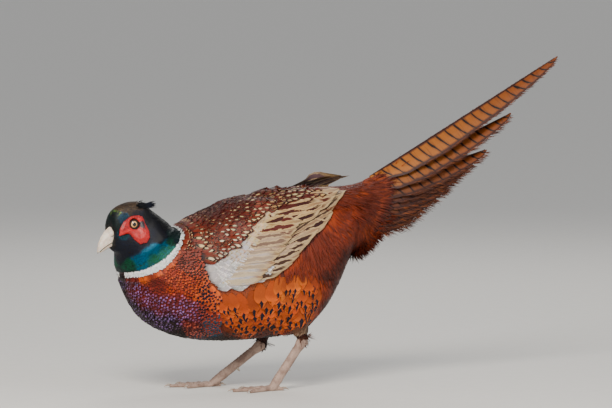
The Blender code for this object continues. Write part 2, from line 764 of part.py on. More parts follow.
def wing_plate(name, side, columns, rows, thickness, s_range=(0.0, 1.0)):
    """The wing's closed sheet of small feathers, thickest in the middle, over the torso's side."""
    outer, inner = [], []
    for i in range(columns):
        s = s_range[0] + (s_range[1] - s_range[0]) * i / (columns - 1)
        for j in range(rows):
            t = j / (rows - 1)
            u, angle = wing_place(s, t)
            point, normal = body_point(u, angle, side), body_normal(u, angle, side)
            swell = (math.sin(math.pi * t) * math.sin(math.pi * (0.12 + 0.8 * s))) ** 0.5
            height = WING_EDGE_THICKNESS + (thickness - WING_EDGE_THICKNESS) * swell
            outer.append(point + normal * height)
            inner.append(point - normal * 5.0 * MM)
    base = columns * rows
    faces = []
    for i in range(columns - 1):
        for j in range(rows - 1):
            a, b, c, d = i * rows + j, i * rows + j + 1, (i + 1) * rows + j + 1, (i + 1) * rows + j
            faces += [(a, b, c), (a, c, d)]
            faces += [(base + a, base + c, base + b), (base + a, base + d, base + c)]
    rim = list(range(rows))
    rim += [i * rows + rows - 1 for i in range(1, columns)]
    rim += [(columns - 1) * rows + j for j in range(rows - 2, -1, -1)]
    rim += [i * rows for i in range(columns - 2, 0, -1)]
    for k, a in enumerate(rim):
        b = rim[(k + 1) % len(rim)]
        faces.append((a, base + a, base + b, b))
    return new_object(name, outer + inner, faces, "wing_buff")


def vane_rows(path, normal_at, width, roll, profile):
    """Rows of edge, shaft and edge points of a feather, along a path of points."""
    rows = []
    for i, (point, share) in enumerate(zip(path, profile)):
        along = (path[min(i + 1, len(path) - 1)] - path[max(i - 1, 0)]).normalized()
        normal = normal_at(point)
        across = along.cross(normal).normalized() * (width * share / 2)
        rise = normal * (roll * share)
        crest = normal * (width * share * 0.03)
        rows.append([point - across - rise, point + crest, point + across + rise])
    return rows


def lay_feather(side, surface, root, tip, width, lift, thickness, roll=0.8):
    """A vane over the body from root to tip, given in the side view."""
    path, normals = [], {}
    shares = (0.0, 0.36, 0.78, 1.0)
    for s in shares:
        x, z = root[0] + (tip[0] - root[0]) * s, root[1] + (tip[1] - root[1]) * s
        u, angle = body_place(x, z)
        start, normal = body_point(u, angle, side), body_normal(u, angle, side)
        point = start + normal * (lift[0] + (lift[1] - lift[0]) * s) * MM
        path.append(point)
        normals[tuple(point)] = normal
    profile = (0.55, 1.0, 0.86, 0.30)
    rows = vane_rows(path, lambda point: normals[tuple(point)], width * MM, side * roll * MM, profile)
    for i, row in enumerate(rows):  # the edges follow the body round
        for j in (0, 2):
            found, normal, _index, _distance = surface.find_nearest(row[j])
            height = (lift[0] + (lift[1] - lift[0]) * shares[i]) * MM
            sign = -1 if j == 0 else 1
            row[j] = found + normal * (height + sign * side * roll * MM - 0.25 * MM)
        for j in range(3):  # the two wings stay clear of each other along the back
            row[j].y = side * max(side * row[j].y, WING_CLEARANCE)
    thick = [thickness * MM * g for g in (1.0, 0.9, 0.75, 0.5)]
    return plate("vane", rows, thick, "wing_buff")


def body_surface():
    """The torso's smooth skin, finer than its solid, to lay feathers on."""
    verts, faces = [], []
    last = len(TORSO) - 1
    rows, columns = 66, 72
    for i in range(rows):
        centre, half, width = torso_section(last * i / (rows - 1))
        left = Vector((0, -1, 0))
        verts += section_ring(centre, half, left, width, TORSO_SQUARENESS, columns, BELLY_FULLNESS)
    for i in range(rows - 1):
        for j in range(columns):
            k = (j + 1) % columns
            faces.append((i * columns + j, (i + 1) * columns + j, (i + 1) * columns + k, i * columns + k))
    tree = BVHTree.FromPolygons(verts, faces)
    _found, normal, _index, _distance = tree.find_nearest(Vector((-0.1, 0, 0.4)))
    if normal.z < 0:
        tree = BVHTree.FromPolygons(verts, [face[::-1] for face in faces])
    return tree


def build_wing(side_name, torso, surface):
    """The folded wing: a sheet over the torso's side, with the large feathers rooted in it."""
    side = SIDES[side_name]
    wing = wing_plate("wing_" + side_name, side, 11, 6, WING_THICKNESS)
    rng = random.Random(11)
    vanes = []
    for tier in WING_TIERS:
        for i in range(tier["count"]):
            t = i / (tier["count"] - 1)
            ends = []
            for first, last in zip(tier["first"], tier["last"]):
                wobble = rng.uniform(-1.2, 1.2)
                x = first[0] + (last[0] - first[0]) * t + wobble
                ends.append((x, first[1] + (last[1] - first[1]) * t))
            raised = RIGHT_WING_TIP_RAISE if side > 0 and tier["name"] == "primaries" else 0.0
            lift = (tier["lift"][0], tier["lift"][1] + raised)
            root, tip = ends
            vanes.append(lay_feather(side, surface, root, tip, tier["width"], lift, tier["thickness"]))
    join(wing, vanes)
    boolean(wing, "DIFFERENCE", [grown(torso, GAP * 1.6)])
    shade_smooth(wing, 35.0)
    return wing


def build_tail():
    """Eighteen tail feathers folded like a roof, rooted in one block behind the rump."""
    first_x, first_z = TAIL_ROOT
    last = len(TAIL_TIPS) - 1
    block = []
    for x_shift, grow in ((0.0, 1.0), (14.0, 0.9)):
        top = Vector((first_x + x_shift, 0, first_z + 2 + x_shift * 0.5)) * MM
        low_x, low_z = first_x + TAIL_ROOT_STEP[0] * last, first_z + TAIL_ROOT_STEP[1] * last
        bottom = Vector((low_x + x_shift, 0, low_z - 2 + x_shift * 0.2)) * MM
        width = 14.0 * MM * grow
        ring = []
        for share, out in ((0.0, 0.16), (0.12, 0.55), (0.5, 0.9), (0.88, 1.0), (1.0, 0.75)):
            ring.append((top.lerp(bottom, share), out * width))
        points = [point + Vector((0, -out, 0)) for point, out in ring]
        points += [point + Vector((0, out, 0)) for point, out in reversed(ring)]
        block.append(points)
    tail = loft("tail", block, "tail_gold")
    vanes = []
    for side in (-1, 1):
        for i, (tip_x, tip_z) in enumerate(TAIL_TIPS):
            root = Vector((first_x + 5 + TAIL_ROOT_STEP[0] * i, 0, first_z + TAIL_ROOT_STEP[1] * i)) * MM
            tip = Vector((tip_x, 0, tip_z)) * MM
            along = (tip - root).normalized()
            up = Vector((-along.z, 0, along.x))
            tilt = math.radians(TAIL_TILT[0] + TAIL_TILT[1] * i)
            down_out = Vector((0, side * math.cos(tilt), 0)) - up * math.sin(tilt)
            steps = 7 if i < 2 else 5
            rows, thick = [], []
            for k in range(steps):
                s = k / (steps - 1)
                widen = 0.62 + 0.38 * math.sin(math.pi * min(1.0, s * 1.6 + 0.1))
                point = min(1.0, (1.03 - s) * 4.2) ** 0.8
                width = TAIL_WIDTHS[i] * MM * max(widen * point, 0.08)
                ridge = (TAIL_RIDGE + TAIL_STEP * i * (1 - 0.35 * s)) * MM
                inner = root.lerp(tip, s) + Vector((0, side * ridge, 0))
                middle = inner + down_out * (width * 0.5) + up * (0.7 * MM)
                outer = inner + down_out * width
                row = [inner, middle, outer]
                rows.append(row if side > 0 else row[::-1])
                thick.append((TAIL_THICKNESS[0] + (TAIL_THICKNESS[1] - TAIL_THICKNESS[0]) * s) * MM)
            vanes.append(plate("vane", rows, thick, "tail_gold"))
    join(tail, vanes)
    shade_smooth(tail, 35.0)
    return tail


def rump_surface(x, z, side):
    """The point of the rump's core that the side view shows at x, z, with a normal turned outwards."""
    low, high = 0.0, float(len(RUMP) - 1)
    for _ in range(24):
        mid = (low + high) / 2
        tx, tz, bx, bz, _width = smooth_value(RUMP, mid)
        behind = (x - bx) * (tz - bz) - (z - bz) * (tx - bx)
        low, high = (mid, high) if behind > 0 else (low, mid)
    centre, half, width = torso_section((low + high) / 2, RUMP)
    offset = Vector((x * MM, 0, z * MM)) - centre
    up = min(max(offset.dot(half) / half.length_squared, -0.95), 0.95)
    out = (1 - abs(up) ** TORSO_SQUARENESS) ** (1 / TORSO_SQUARENESS)
    point = centre + half * up + Vector((0, side * width * out, 0))
    normal = (Vector((0, side, 0)) * out + half.normalized() * up * 0.5).normalized()
    return point, normal


def build_rump(torso):
    """The rump's core with its hair-like feathers hanging over the root of the tail."""
    rings = []
    for i in range(5):
        centre, half, width = torso_section(2.0 * i / 4, RUMP)
        if i == 0:
            forward = Vector((half.z, 0, -half.x)).normalized()
            centre = centre + forward * GAP
        rings.append(section_ring(centre, half, Vector((0, -1, 0)), width, TORSO_SQUARENESS, 18, 0.0))
    rump = loft("rump", rings, "rump_rust")
    rng = random.Random(5)
    locks = []
    for side in (-1, 1):
        for number, (root, tip) in enumerate(RUMP_LOCKS):
            start, normal = rump_surface(root[0], root[1], side)
            start = start - normal * 3.0 * MM
            end = Vector((tip[0] + rng.uniform(-2, 2), 0, tip[1] + rng.uniform(-2, 2))) * MM
            end.y = side * (20.0 + rng.uniform(-0.8, 0.8) + (number % 2) * 2.2) * MM
            rows = []
            for k, share in enumerate((0.75, 1.0, 0.8, 0.25)):
                s = (0.0, 0.35, 0.75, 1.0)[k]
                middle = start.lerp(end, s) + normal * (math.sin(math.pi * min(1.0, s * 1.2)) * 4.5 * MM)
                along = (end - start).normalized()
                across = along.cross(Vector((0, side, 0))).normalized() * (RUMP_LOCK_WIDTH * share / 2 * MM)
                rows.append([middle - across, middle + normal * 1.1 * MM * share, middle + across])
            locks.append(plate("lock", rows, [g * MM for g in (2.4, 2.2, 1.6, 0.7)], "rump_rust"))
    join(rump, locks)
    boolean(rump, "DIFFERENCE", [build_tail_room(), grown(torso, GAP * 1.15)])
    shade_smooth(rump, 35.0)
    return rump


def build_tail_room():
    """The space that the tail's root takes behind the rump's core, with the gap round it."""
    first_x, first_z = TAIL_ROOT
    last = len(TAIL_TIPS) - 1
    rings = []
    sections = ((-GAP / MM, 15.5, 3.0, 3.0), (20.0, 17.0, 16.0, 0.0), (60.0, 18.5, 40.0, 10.0))
    for shift, width, top_up, low_down in sections:
        top = Vector((first_x + shift, 0, first_z + top_up)) * MM
        low_x, low_z = first_x + TAIL_ROOT_STEP[0] * last, first_z + TAIL_ROOT_STEP[1] * last
        bottom = Vector((low_x + shift, 0, low_z - low_down - 3.0)) * MM
        side = Vector((0, width * MM, 0))
        rings.append([top + side * 0.9, top - side * 0.9, bottom - side, bottom + side])
    room = loft("tail_room", rings, "tail_gold")
    room.hide_render = True
    return room


def limb(name, points, radii, count, finish, flatten=1.0):
    """A tube through points with the given radii."""
    rings = []
    for i, (point, radius) in enumerate(zip(points, radii)):
        along = (points[min(i + 1, len(points) - 1)] - points[max(i - 1, 0)]).normalized()
        side = along.cross(Vector((0, 1, 0))).normalized()
        across = along.cross(side).normalized()
        rings.append([point + side * (math.cos(a) * radius) + across * (math.sin(a) * radius * flatten)
                      for a in (2 * math.pi * k / count for k in range(count))])
    return loft(name, rings, finish)


def leg_points(side_name):
    leg = LEGS[side_name]
    return Vector(leg["hock"]) * MM, Vector(leg["ankle"]) * MM


def build_thigh(side_name, torso):
    """The feathered drumstick, from inside the body to just above the hock."""
    hock, ankle = leg_points(side_name)
    top = Vector(THIGH_TOP[side_name]) * MM
    down = (hock - top).normalized()
    end = hock + Vector((0, 0, 1.0 * MM)) - down * 2.0 * MM
    points = [top.lerp(end, s) for s in (0.0, 0.25, 0.5, 0.72, 0.88, 1.0)]
    radii = [r * MM for r in (22.0, 21.0, 16.0, 11.5, 8.6, 7.4)]
    thigh = limb("thigh_" + side_name, points, radii, 14, "thigh", 0.85)
    cut_clear(thigh, torso)
    shade_smooth(thigh)
    return thigh


def build_shank(side_name):
    """The bare tarsus: a knuckle at the hock, then raised scutes down its front."""
    hock, ankle = leg_points(side_name)
    along = (ankle - hock).normalized()
    front = Vector((-1, 0, 0)) - along * Vector((-1, 0, 0)).dot(along)
    front.normalize()
    across = along.cross(front).normalized()
    count = 9
    rings = []

    def ring(distance, radius, raised):
        centre = hock + along * distance
        points = []
        for k in range(count):
            a = 2 * math.pi * k / count
            depth = radius * SHANK_DEPTH + raised * max(0.0, math.cos(a))
            points.append(centre + front * (math.cos(a) * depth) + across * (math.sin(a) * radius * 0.9))
        return points

    length = (ankle - hock).length
    knuckle = HOCK_RADIUS / MM
    for distance, radius in ((-4.0, 4.2), (0.0, knuckle), (5.0, knuckle * 0.92), (10.0, 5.0)):
        rings.append(ring(distance * MM, radius * MM, 0.0))
    start = 13.0 * MM
    pitch = (length - start) / SCUTES
    for i in range(SCUTES):
        for share, raised in ((0.0, 0.0), (0.12, SCUTE_HEIGHT)):
            rings.append(ring(start + pitch * (i + share), SHANK_RADIUS, raised))
    rings.append(ring(length, SHANK_RADIUS * 1.1, 0.0))
    return loft("shank_" + side_name, rings, "leg_scale")


def toe_rings(origin, direction, length, width, height):
    """Sections of a toe with a flat sole, a swelling at each joint and raised plates on top."""
    across = Vector((-direction.y, direction.x, 0))
    steps = 11
    rings = []
    for k in range(steps):
        s = k / (steps - 1)
        swelling = 1.0 + 0.10 * math.cos(2 * math.pi * s * 3.0)
        grow = (1.05 - 0.52 * s) * swelling
        raised = TOE_PLATE if k % 2 else 0.0
        centre = origin + direction * (length * s)
        w = width * grow
        h = height * (grow * 0.9 + 0.08) + raised
        half = [(0.62, 0.0), (1.0, 0.34), (0.72, 0.82)]
        shape = [(-x, z) for x, z in half] + [(0.0, 1.0)] + half[::-1]
        floor = Vector((centre.x, centre.y, 0))
        rings.append([floor + across * (w * x) + Vector((0, 0, h * z)) for x, z in shape])
    return rings


def toe_directions(side_name):
    """Name, flat direction, length and half width of each toe of one foot."""
    side = SIDES[side_name]
    found = []
    for toe, (angle, length, width) in TOES.items():
        turn = math.radians(LEGS[side_name]["heading"] + side * -angle)
        found.append((toe, Vector((-math.cos(turn), -math.sin(turn), 0)), length * MM, width * MM))
    return found


def build_foot(side_name):
    """The foot's pad under the shank, widening to a flat sole, and the toes joined to it."""
    hock, ankle = leg_points(side_name)
    along = (ankle - hock).normalized()
    heel = ankle + along * (ankle.z / -along.z)
    centre = Vector((heel.x, heel.y, 0))
    front = (Vector((-1, 0, 0)) - along * -along.x).normalized()
    across = along.cross(front).normalized()
    rings = []
    for share, radius in ((0.0, 4.9), (0.45, 5.3), (0.85, 6.0), (1.0, 5.2)):
        middle = (ankle + along * GAP).lerp(centre, share)
        ring_front = front.lerp(Vector((-1, 0, 0)), share).normalized()
        ring_across = across.lerp(Vector((0, math.copysign(1, across.y), 0)), share).normalized()
        deep = SHANK_DEPTH + (1.0 - SHANK_DEPTH) * share
        turns = [2 * math.pi * k / 10 for k in range(10)]
        wide, long = ring_across * radius * MM, ring_front * radius * deep * MM
        rings.append([middle + long * math.cos(a) + wide * math.sin(a) for a in turns])
    foot = loft("foot_" + side_name, rings, "leg_scale")
    toes = []
    for toe, direction, length, width in toe_directions(side_name):
        origin = centre + direction * 1.5 * MM
        toes.append(loft("toe", toe_rings(origin, direction, length, width, TOE_HEIGHT), "leg_scale"))
    join(foot, toes)
    return foot


def build_claws(side_name, foot):
    hock, ankle = leg_points(side_name)
    along = (ankle - hock).normalized()
    heel = ankle + along * (ankle.z / -along.z)
    claws = []
    for toe, direction, length, width in toe_directions(side_name):
        start = Vector((heel.x, heel.y, 0)) + direction * (length - 1.5 * MM) + Vector((0, 0, 2.5 * MM))
        points, radii = [], []
        for k in range(5):
            s = k / 4
            drop = 1.4 * MM * math.sin(math.pi * s) - 1.8 * MM * s * s
            points.append(start + direction * (CLAW_LENGTH * s) + Vector((0, 0, drop)))
            radii.append(CLAW_RADIUS * (1 - s) ** 0.8 + 0.25 * MM)
        claw = limb("claw_" + side_name + "_" + toe, points, radii, 7, "horn", 0.8)
        cut_clear(claw, foot)
        claws.append(claw)
    return claws


def build_spur(side_name, shank):
    """The cock's spur, on the back and inner side of the shank."""
    hock, ankle = leg_points(side_name)
    along = (ankle - hock).normalized()
    back = Vector((1, 0, 0)) - along * along.x
    direction = (back.normalized() * 0.8 + Vector((0, -SIDES[side_name] * 0.55, -0.15))).normalized()
    start = hock.lerp(ankle, 0.68) + direction * 1.5 * MM
    points = []
    for s in (0.0, 0.35, 0.7, 1.0):
        points.append(start + direction * (SPUR_LENGTH * s) + Vector((0, 0, 1.2 * MM * s * s)))
    radii = [SPUR_RADIUS * g for g in (1.0, 0.8, 0.45, 0.12)]
    spur = limb("spur_" + side_name, points, radii, 8, "horn")
    cut_clear(spur, shank)
    return spur


def build_legs(torso):
    nodes = []
    for side_name in SIDES:
        foot = build_foot(side_name)
        shank = build_shank(side_name)
        thigh = build_thigh(side_name, torso)
        cut_clear(shank, foot)
        cut_clear(thigh, shank)
        cut_clear(shank, torso)
        nodes += [foot, shank, thigh, build_spur(side_name, shank)]
        nodes += build_claws(side_name, foot)
    return nodes


def main():
    clear_scene()
    torso = build_torso()
    neck = build_neck()
    build_head_nodes(neck)
    surface = body_surface()
    for side_name in SIDES:
        build_wing(side_name, torso, surface)
    build_tail()
    build_rump(torso)
    build_legs(torso)


main()
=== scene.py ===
import math

import bpy
import numpy as np
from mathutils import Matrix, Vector
from mathutils.bvhtree import BVHTree
from mathutils.kdtree import KDTree


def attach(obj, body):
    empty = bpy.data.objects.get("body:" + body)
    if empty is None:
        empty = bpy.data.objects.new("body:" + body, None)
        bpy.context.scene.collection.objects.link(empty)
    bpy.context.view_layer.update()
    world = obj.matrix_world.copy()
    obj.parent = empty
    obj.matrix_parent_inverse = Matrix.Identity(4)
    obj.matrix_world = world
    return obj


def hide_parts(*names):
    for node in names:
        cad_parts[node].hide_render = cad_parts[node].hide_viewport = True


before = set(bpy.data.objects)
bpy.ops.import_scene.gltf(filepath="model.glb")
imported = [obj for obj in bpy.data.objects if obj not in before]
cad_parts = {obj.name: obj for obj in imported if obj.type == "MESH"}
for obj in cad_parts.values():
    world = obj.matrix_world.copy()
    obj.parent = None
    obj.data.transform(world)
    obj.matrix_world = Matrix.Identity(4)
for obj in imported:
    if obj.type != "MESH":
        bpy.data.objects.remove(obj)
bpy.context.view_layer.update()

mm = 0.001
sides = {"left": -1.0, "right": 1.0}

# Colours as a screen shows them, turned into the linear values that Blender wants.
palette = {
    "blueBlack": (13, 17, 33), "inkBlack": (10, 10, 14), "greenBlack": (12, 34, 32),
    "teal": (10, 88, 116), "emerald": (8, 80, 52), "goldGreen": (104, 128, 48),
    "bronze": (96, 74, 50), "bronzeDark": (52, 40, 32), "ringWhite": (248, 247, 243),
    "collarOrange": (200, 80, 8), "collarDark": (54, 22, 16), "copper": (134, 40, 14),
    # Lilac and steel are the colours of painted sheen highlights on the breast.
    "maroon": (104, 30, 22), "maroonBlack": (38, 12, 13), "lilacSheen": (160, 122, 190),
    "steelSheen": (112, 128, 160), "pink": (186, 88, 66), "flankOrange": (206, 84, 8),
    "flankPale": (216, 102, 18), "flankRust": (140, 50, 12), "spotBlue": (12, 14, 34),
    "spotTeal": (8, 70, 92), "bellyBlack": (34, 14, 8), "ventRust": (104, 36, 14),
    "ventDark": (60, 20, 8), "chestnut": (112, 38, 18), "mantleDark": (46, 20, 15),
    "cream": (214, 184, 134), "ivory": (226, 208, 172), "silver": (190, 184, 184),
    "silverWarm": (196, 174, 146), "buff": (186, 144, 92), "tan": (152, 118, 84),
    "wine": (84, 24, 14), "wineDark": (50, 17, 13), "umber": (70, 48, 36),
    "rumpRust": (146, 48, 8), "rumpGold": (186, 88, 14), "rumpDark": (66, 18, 8),
    "plum": (104, 80, 86), "tailGold": (170, 98, 28), "tailOchre": (126, 62, 18),
    "tailBrown": (60, 30, 24), "tailShade": (78, 42, 28), "barBlack": (24, 14, 12), "thighBrown": (92, 62, 46),
    "thighPale": (170, 140, 116), "greyPurple": (122, 108, 116), "edgeWhite": (232, 226, 222),
}


def linear(screen):
    part = np.array(screen, float) / 255.0
    return np.where(part <= 0.04045, part / 12.92, ((part + 0.055) / 1.055) ** 2.4)


colour = {name: linear(value) for name, value in palette.items()}


def ease(low, high, value):
    part = np.clip((np.asarray(value, float) - low) / (high - low), 0.0, 1.0)
    return part * part * (3 - 2 * part)


def blendRows(first, second, share):
    return first + (second - first) * np.asarray(share)[..., None]


def rippleNoise(points, size, seed):  # smooth values from -1 to 1, with waves of about this size
    rng = np.random.default_rng(seed)
    total = np.zeros(len(points))
    for wave in rng.normal(size=(6, 3)):
        turned = np.roll(wave, 1) * 0.7
        total += np.sin(points @ wave * (3.2 / size) + rng.uniform(0, 6.28) + np.sin(points @ turned / size))
    return total / 4.0


# Shared ways of making and changing pieces.
def activate(piece):
    bpy.ops.object.select_all(action="DESELECT")
    piece.select_set(True)
    bpy.context.view_layer.objects.active = piece


def applyModifier(piece, kind, **settings):
    activate(piece)
    modifier = piece.modifiers.new("shape", kind)
    for key, value in settings.items():
        setattr(modifier, key, value)
    bpy.ops.object.modifier_apply(modifier="shape")


def copyOfNode(nodeName, pieceName):
    piece = bpy.data.objects.new(pieceName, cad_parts[nodeName].data.copy())
    bpy.context.scene.collection.objects.link(piece)
    piece.data.materials.clear()
    activate(piece)
    bpy.ops.object.mode_set(mode="EDIT")
    bpy.ops.mesh.select_all(action="SELECT")
    bpy.ops.mesh.remove_doubles(threshold=0.00001)
    bpy.ops.object.mode_set(mode="OBJECT")
    return piece


def joinPieces(pieces, name):
    activate(pieces[0])
    for piece in pieces[1:]:
        piece.select_set(True)
    bpy.ops.object.join()
    pieces[0].name = name
    pieces[0].data.name = name
    return pieces[0]


def readPoints(piece):
    points = np.empty(len(piece.data.vertices) * 3)
    piece.data.vertices.foreach_get("co", points)
    return points.reshape(-1, 3)


def readNormals(piece):
    normals = np.empty(len(piece.data.vertices) * 3)
    piece.data.vertex_normals.foreach_get("vector", normals)
    return normals.reshape(-1, 3)


def writePoints(piece, points):
    piece.data.vertices.foreach_set("co", points.ravel())
    piece.data.update()


def setAttribute(mesh, name, values):
    if values.ndim == 2:
        rows = np.concatenate([values, np.ones((len(values), 1))], axis=1)
        mesh.attributes.new(name, "FLOAT_COLOR", "POINT").data.foreach_set("color", rows.ravel())
    else:
        mesh.attributes.new(name, "FLOAT", "POINT").data.foreach_set("value", values)


def finishPiece(piece, material=None, replaced=()):
    if material:
        piece.data.materials.clear()
        piece.data.materials.append(material)
    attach(piece, "root")
    if replaced:
        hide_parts(*replaced)
    return piece


# Material nodes.
def addNode(tree, kind, inputs=None, **settings):
    made = tree.nodes.new(kind)
    for key, value in settings.items():
        setattr(made, key, value)
    for key, value in (inputs or {}).items():
        if isinstance(value, bpy.types.NodeSocket):
            tree.links.new(value, made.inputs[key])
        else:
            made.inputs[key].default_value = value
    return made


def calc(tree, operation, *values):
    inputs = {k: value for k, value in enumerate(values)}
    return addNode(tree, "ShaderNodeMath", inputs, operation=operation).outputs[0]


def rampUp(tree, value, low, high):  # 0 under low, 1 over high
    inputs = {"Value": value, "From Min": low, "From Max": high}
    made = addNode(tree, "ShaderNodeMapRange", inputs, interpolation_type="SMOOTHSTEP")
    return made.outputs["Result"]


def mixColours(tree, share, first, second, kind="MIX"):
    made = addNode(tree, "ShaderNodeMix", data_type="RGBA", blend_type=kind)
    for key, value in ((0, share), (6, first), (7, second)):
        if isinstance(value, bpy.types.NodeSocket):
            tree.links.new(value, made.inputs[key])
        else:
            made.inputs[key].default_value = value if key == 0 else (*value, 1.0)
    return made.outputs[2]


def readAttribute(tree, name, output="Color"):
    return addNode(tree, "ShaderNodeAttribute", attribute_name=name).outputs[output]


def noiseOf(tree, vector, scale, detail=3.0, roughness=0.55):
    inputs = {"Vector": vector, "Scale": scale, "Detail": detail, "Roughness": roughness}
    return addNode(tree, "ShaderNodeTexNoise", inputs).outputs["Fac"]


def newGroup(name, inputs, outputs):
    group = bpy.data.node_groups.new(name, "ShaderNodeTree")
    for label, kind, value in inputs:
        socket = group.interface.new_socket(label, in_out="INPUT", socket_type=kind)
        if value is not None:
            socket.default_value = value
    for label, kind in outputs:
        group.interface.new_socket(label, in_out="OUTPUT", socket_type=kind)
    start = group.nodes.new("NodeGroupInput")
    end = group.nodes.new("NodeGroupOutput")
    return group, start, end


def makeBarbGroup():  # fine barbs on both sides of a shaft, from a vane's own map
    inputs = [("Vane", "NodeSocketVector", None), ("Barbs", "NodeSocketFloat", 30.0),
              ("Slant", "NodeSocketFloat", 6.0), ("Wander", "NodeSocketFloat", 1.0)]
    outputs = [("Across", "NodeSocketFloat"), ("Along", "NodeSocketFloat"), ("Centre", "NodeSocketFloat"),
               ("Shade", "NodeSocketFloat"), ("Height", "NodeSocketFloat")]
    group, start, end = newGroup("featherBarbs", inputs, outputs)
    split = addNode(group, "ShaderNodeSeparateXYZ", {0: start.outputs["Vane"]})
    across = calc(group, "MULTIPLY_ADD", split.outputs[0], 2.0, -1.0)
    centre = calc(group, "ABSOLUTE", across)
    place = readAttribute(group, "chance", "Fac")
    spot = addNode(group, "ShaderNodeCombineXYZ", {0: split.outputs[0], 1: split.outputs[1], 2: place})
    wander = calc(group, "MULTIPLY", noiseOf(group, spot.outputs[0], 5.0), start.outputs["Wander"])
    lines = calc(group, "MULTIPLY", split.outputs[1], start.outputs["Barbs"])
    slanted = calc(group, "MULTIPLY", centre, start.outputs["Slant"])
    phase = calc(group, "ADD", calc(group, "SUBTRACT", lines, slanted), wander)
    wave = calc(group, "SINE", calc(group, "MULTIPLY", phase, 6.2832))
    shaft = calc(group, "SUBTRACT", 1.0, rampUp(group, centre, 0.02, 0.09))
    soft = calc(group, "MULTIPLY_ADD", wave, 0.5, 0.5)
    shade = calc(group, "MULTIPLY_ADD", soft, 0.7, calc(group, "MULTIPLY", wander, 0.3))
    height = calc(group, "MAXIMUM", calc(group, "MULTIPLY", soft, 0.5), shaft)
    for label, value in (("Across", across), ("Along", split.outputs[1]), ("Centre", centre),
                         ("Shade", shade), ("Height", height)):
        group.links.new(value, end.inputs[label])
    return group


barbGroup = makeBarbGroup()


def plainMaterial(name, **settings):
    material = bpy.data.materials.new(name)
    material.use_nodes = True
    shader = material.node_tree.nodes["Principled BSDF"]
    for key, value in settings.items():
        shader.inputs[key].default_value = value
    return material, material.node_tree, shader


def featherMaterial(name, pattern, barbs, roughness, sheen=0.02, bump=0.25, contrast=0.3):
    settings = {"Roughness": roughness, "Sheen Weight": sheen, "Sheen Roughness": 0.4, "Specular IOR Level": 0.22}
    material, tree, shader = plainMaterial(name, **settings)
    vane = addNode(tree, "ShaderNodeUVMap", uv_map="vane").outputs[0]
    inputs = {"Vane": vane, "Barbs": barbs, "Slant": barbs * 0.2}
    fine = addNode(tree, "ShaderNodeGroup", node_tree=barbGroup)
    for key, value in inputs.items():
        if isinstance(value, bpy.types.NodeSocket):
            tree.links.new(value, fine.inputs[key])
        else:
            fine.inputs[key].default_value = value
    found = pattern(tree, fine.outputs["Across"], fine.outputs["Along"], fine.outputs["Centre"])
    dark = calc(tree, "MULTIPLY", calc(tree, "SUBTRACT", 1.0, fine.outputs["Shade"]), contrast)
    shaded = mixColours(tree, dark, found, (0.0, 0.0, 0.0))
    tree.links.new(shaded, shader.inputs["Base Color"])
    tree.links.new(readAttribute(tree, "gloss", "Fac"), shader.inputs["Metallic"])
    relief = addNode(tree, "ShaderNodeBump", {"Height": fine.outputs["Height"], "Strength": bump, "Distance": 0.0003})
    tree.links.new(relief.outputs[0], shader.inputs["Normal"])
    return material


def scallopPattern(tree, across, along, centre):  # the mark lies on the tip, rounder to the sides
    reach = readAttribute(tree, "reach", "Fac")
    bowed = calc(tree, "MULTIPLY_ADD", calc(tree, "MULTIPLY", centre, centre), 0.22, along)
    share = rampUp(tree, calc(tree, "SUBTRACT", bowed, reach), -0.07, 0.07)
    body = mixColours(tree, share, readAttribute(tree, "ground"), readAttribute(tree, "mark"))
    # Towards its root each feather is darkened towards dark umber: painted shade under the feathers that overlap it.
    down = rampUp(tree, along, 0.42, 0.1)
    return mixColours(tree, calc(tree, "MULTIPLY", down, 0.55), body, tuple(colour["umber"] * 0.5))


def teardropPattern(tree, across, along, centre):  # a dark drop on the shaft near the tip
    reach = readAttribute(tree, "reach", "Fac")
    rise = calc(tree, "DIVIDE", calc(tree, "SUBTRACT", along, reach), 0.18)
    narrow = calc(tree, "MULTIPLY_ADD", rampUp(tree, rise, -1.25, 0.3), 0.40, 0.06)
    wide = calc(tree, "DIVIDE", centre, narrow)
    squared = calc(tree, "ADD", calc(tree, "MULTIPLY", wide, wide), calc(tree, "MULTIPLY", rise, rise))
    share = rampUp(tree, squared, 1.25, 0.85)
    fringe = calc(tree, "MULTIPLY", rampUp(tree, calc(tree, "MULTIPLY_ADD", centre, 0.2, along), 0.86, 1.1), 0.6)
    ground = mixColours(tree, fringe, readAttribute(tree, "ground"), readAttribute(tree, "fringe"))
    # Towards the root the ground is darkened towards dark rust: painted shade under the overlapping feathers.
    paintedRootShade = calc(tree, "MULTIPLY", rampUp(tree, along, 0.78, 0.5), 0.5)
    rim = calc(tree, "MULTIPLY", rampUp(tree, centre, 0.72, 1.0), 0.3)
    shaded = mixColours(tree, calc(tree, "MAXIMUM", paintedRootShade, rim), ground, tuple(colour["flankRust"] * 0.6))
    return mixColours(tree, share, shaded, readAttribute(tree, "mark"))


def tickPattern(tree, across, along, centre):  # a dark tick on the tip, and before it a painted highlight speck in the fringe colour
    reach = readAttribute(tree, "reach", "Fac")
    peaked = calc(tree, "SUBTRACT", along, calc(tree, "MULTIPLY", centre, 0.26))
    share = rampUp(tree, calc(tree, "SUBTRACT", peaked, reach), -0.05, 0.05)
    rise = calc(tree, "DIVIDE", calc(tree, "SUBTRACT", along, 0.76), 0.13)
    wide = calc(tree, "DIVIDE", across, 0.62)
    spread = calc(tree, "ADD", calc(tree, "MULTIPLY", wide, wide), calc(tree, "MULTIPLY", rise, rise))
    # The speck in the fringe colour is a painted highlight.
    paintedHighlight = calc(tree, "MULTIPLY", rampUp(tree, spread, 1.3, 0.4), 0.85)
    body = mixColours(tree, paintedHighlight, readAttribute(tree, "ground"), readAttribute(tree, "fringe"))
    rim = calc(tree, "MULTIPLY", rampUp(tree, centre, 0.7, 1.0), 0.35)
    rimmed = mixColours(tree, rim, body, readAttribute(tree, "mark"))
    return mixColours(tree, share, rimmed, readAttribute(tree, "mark"))


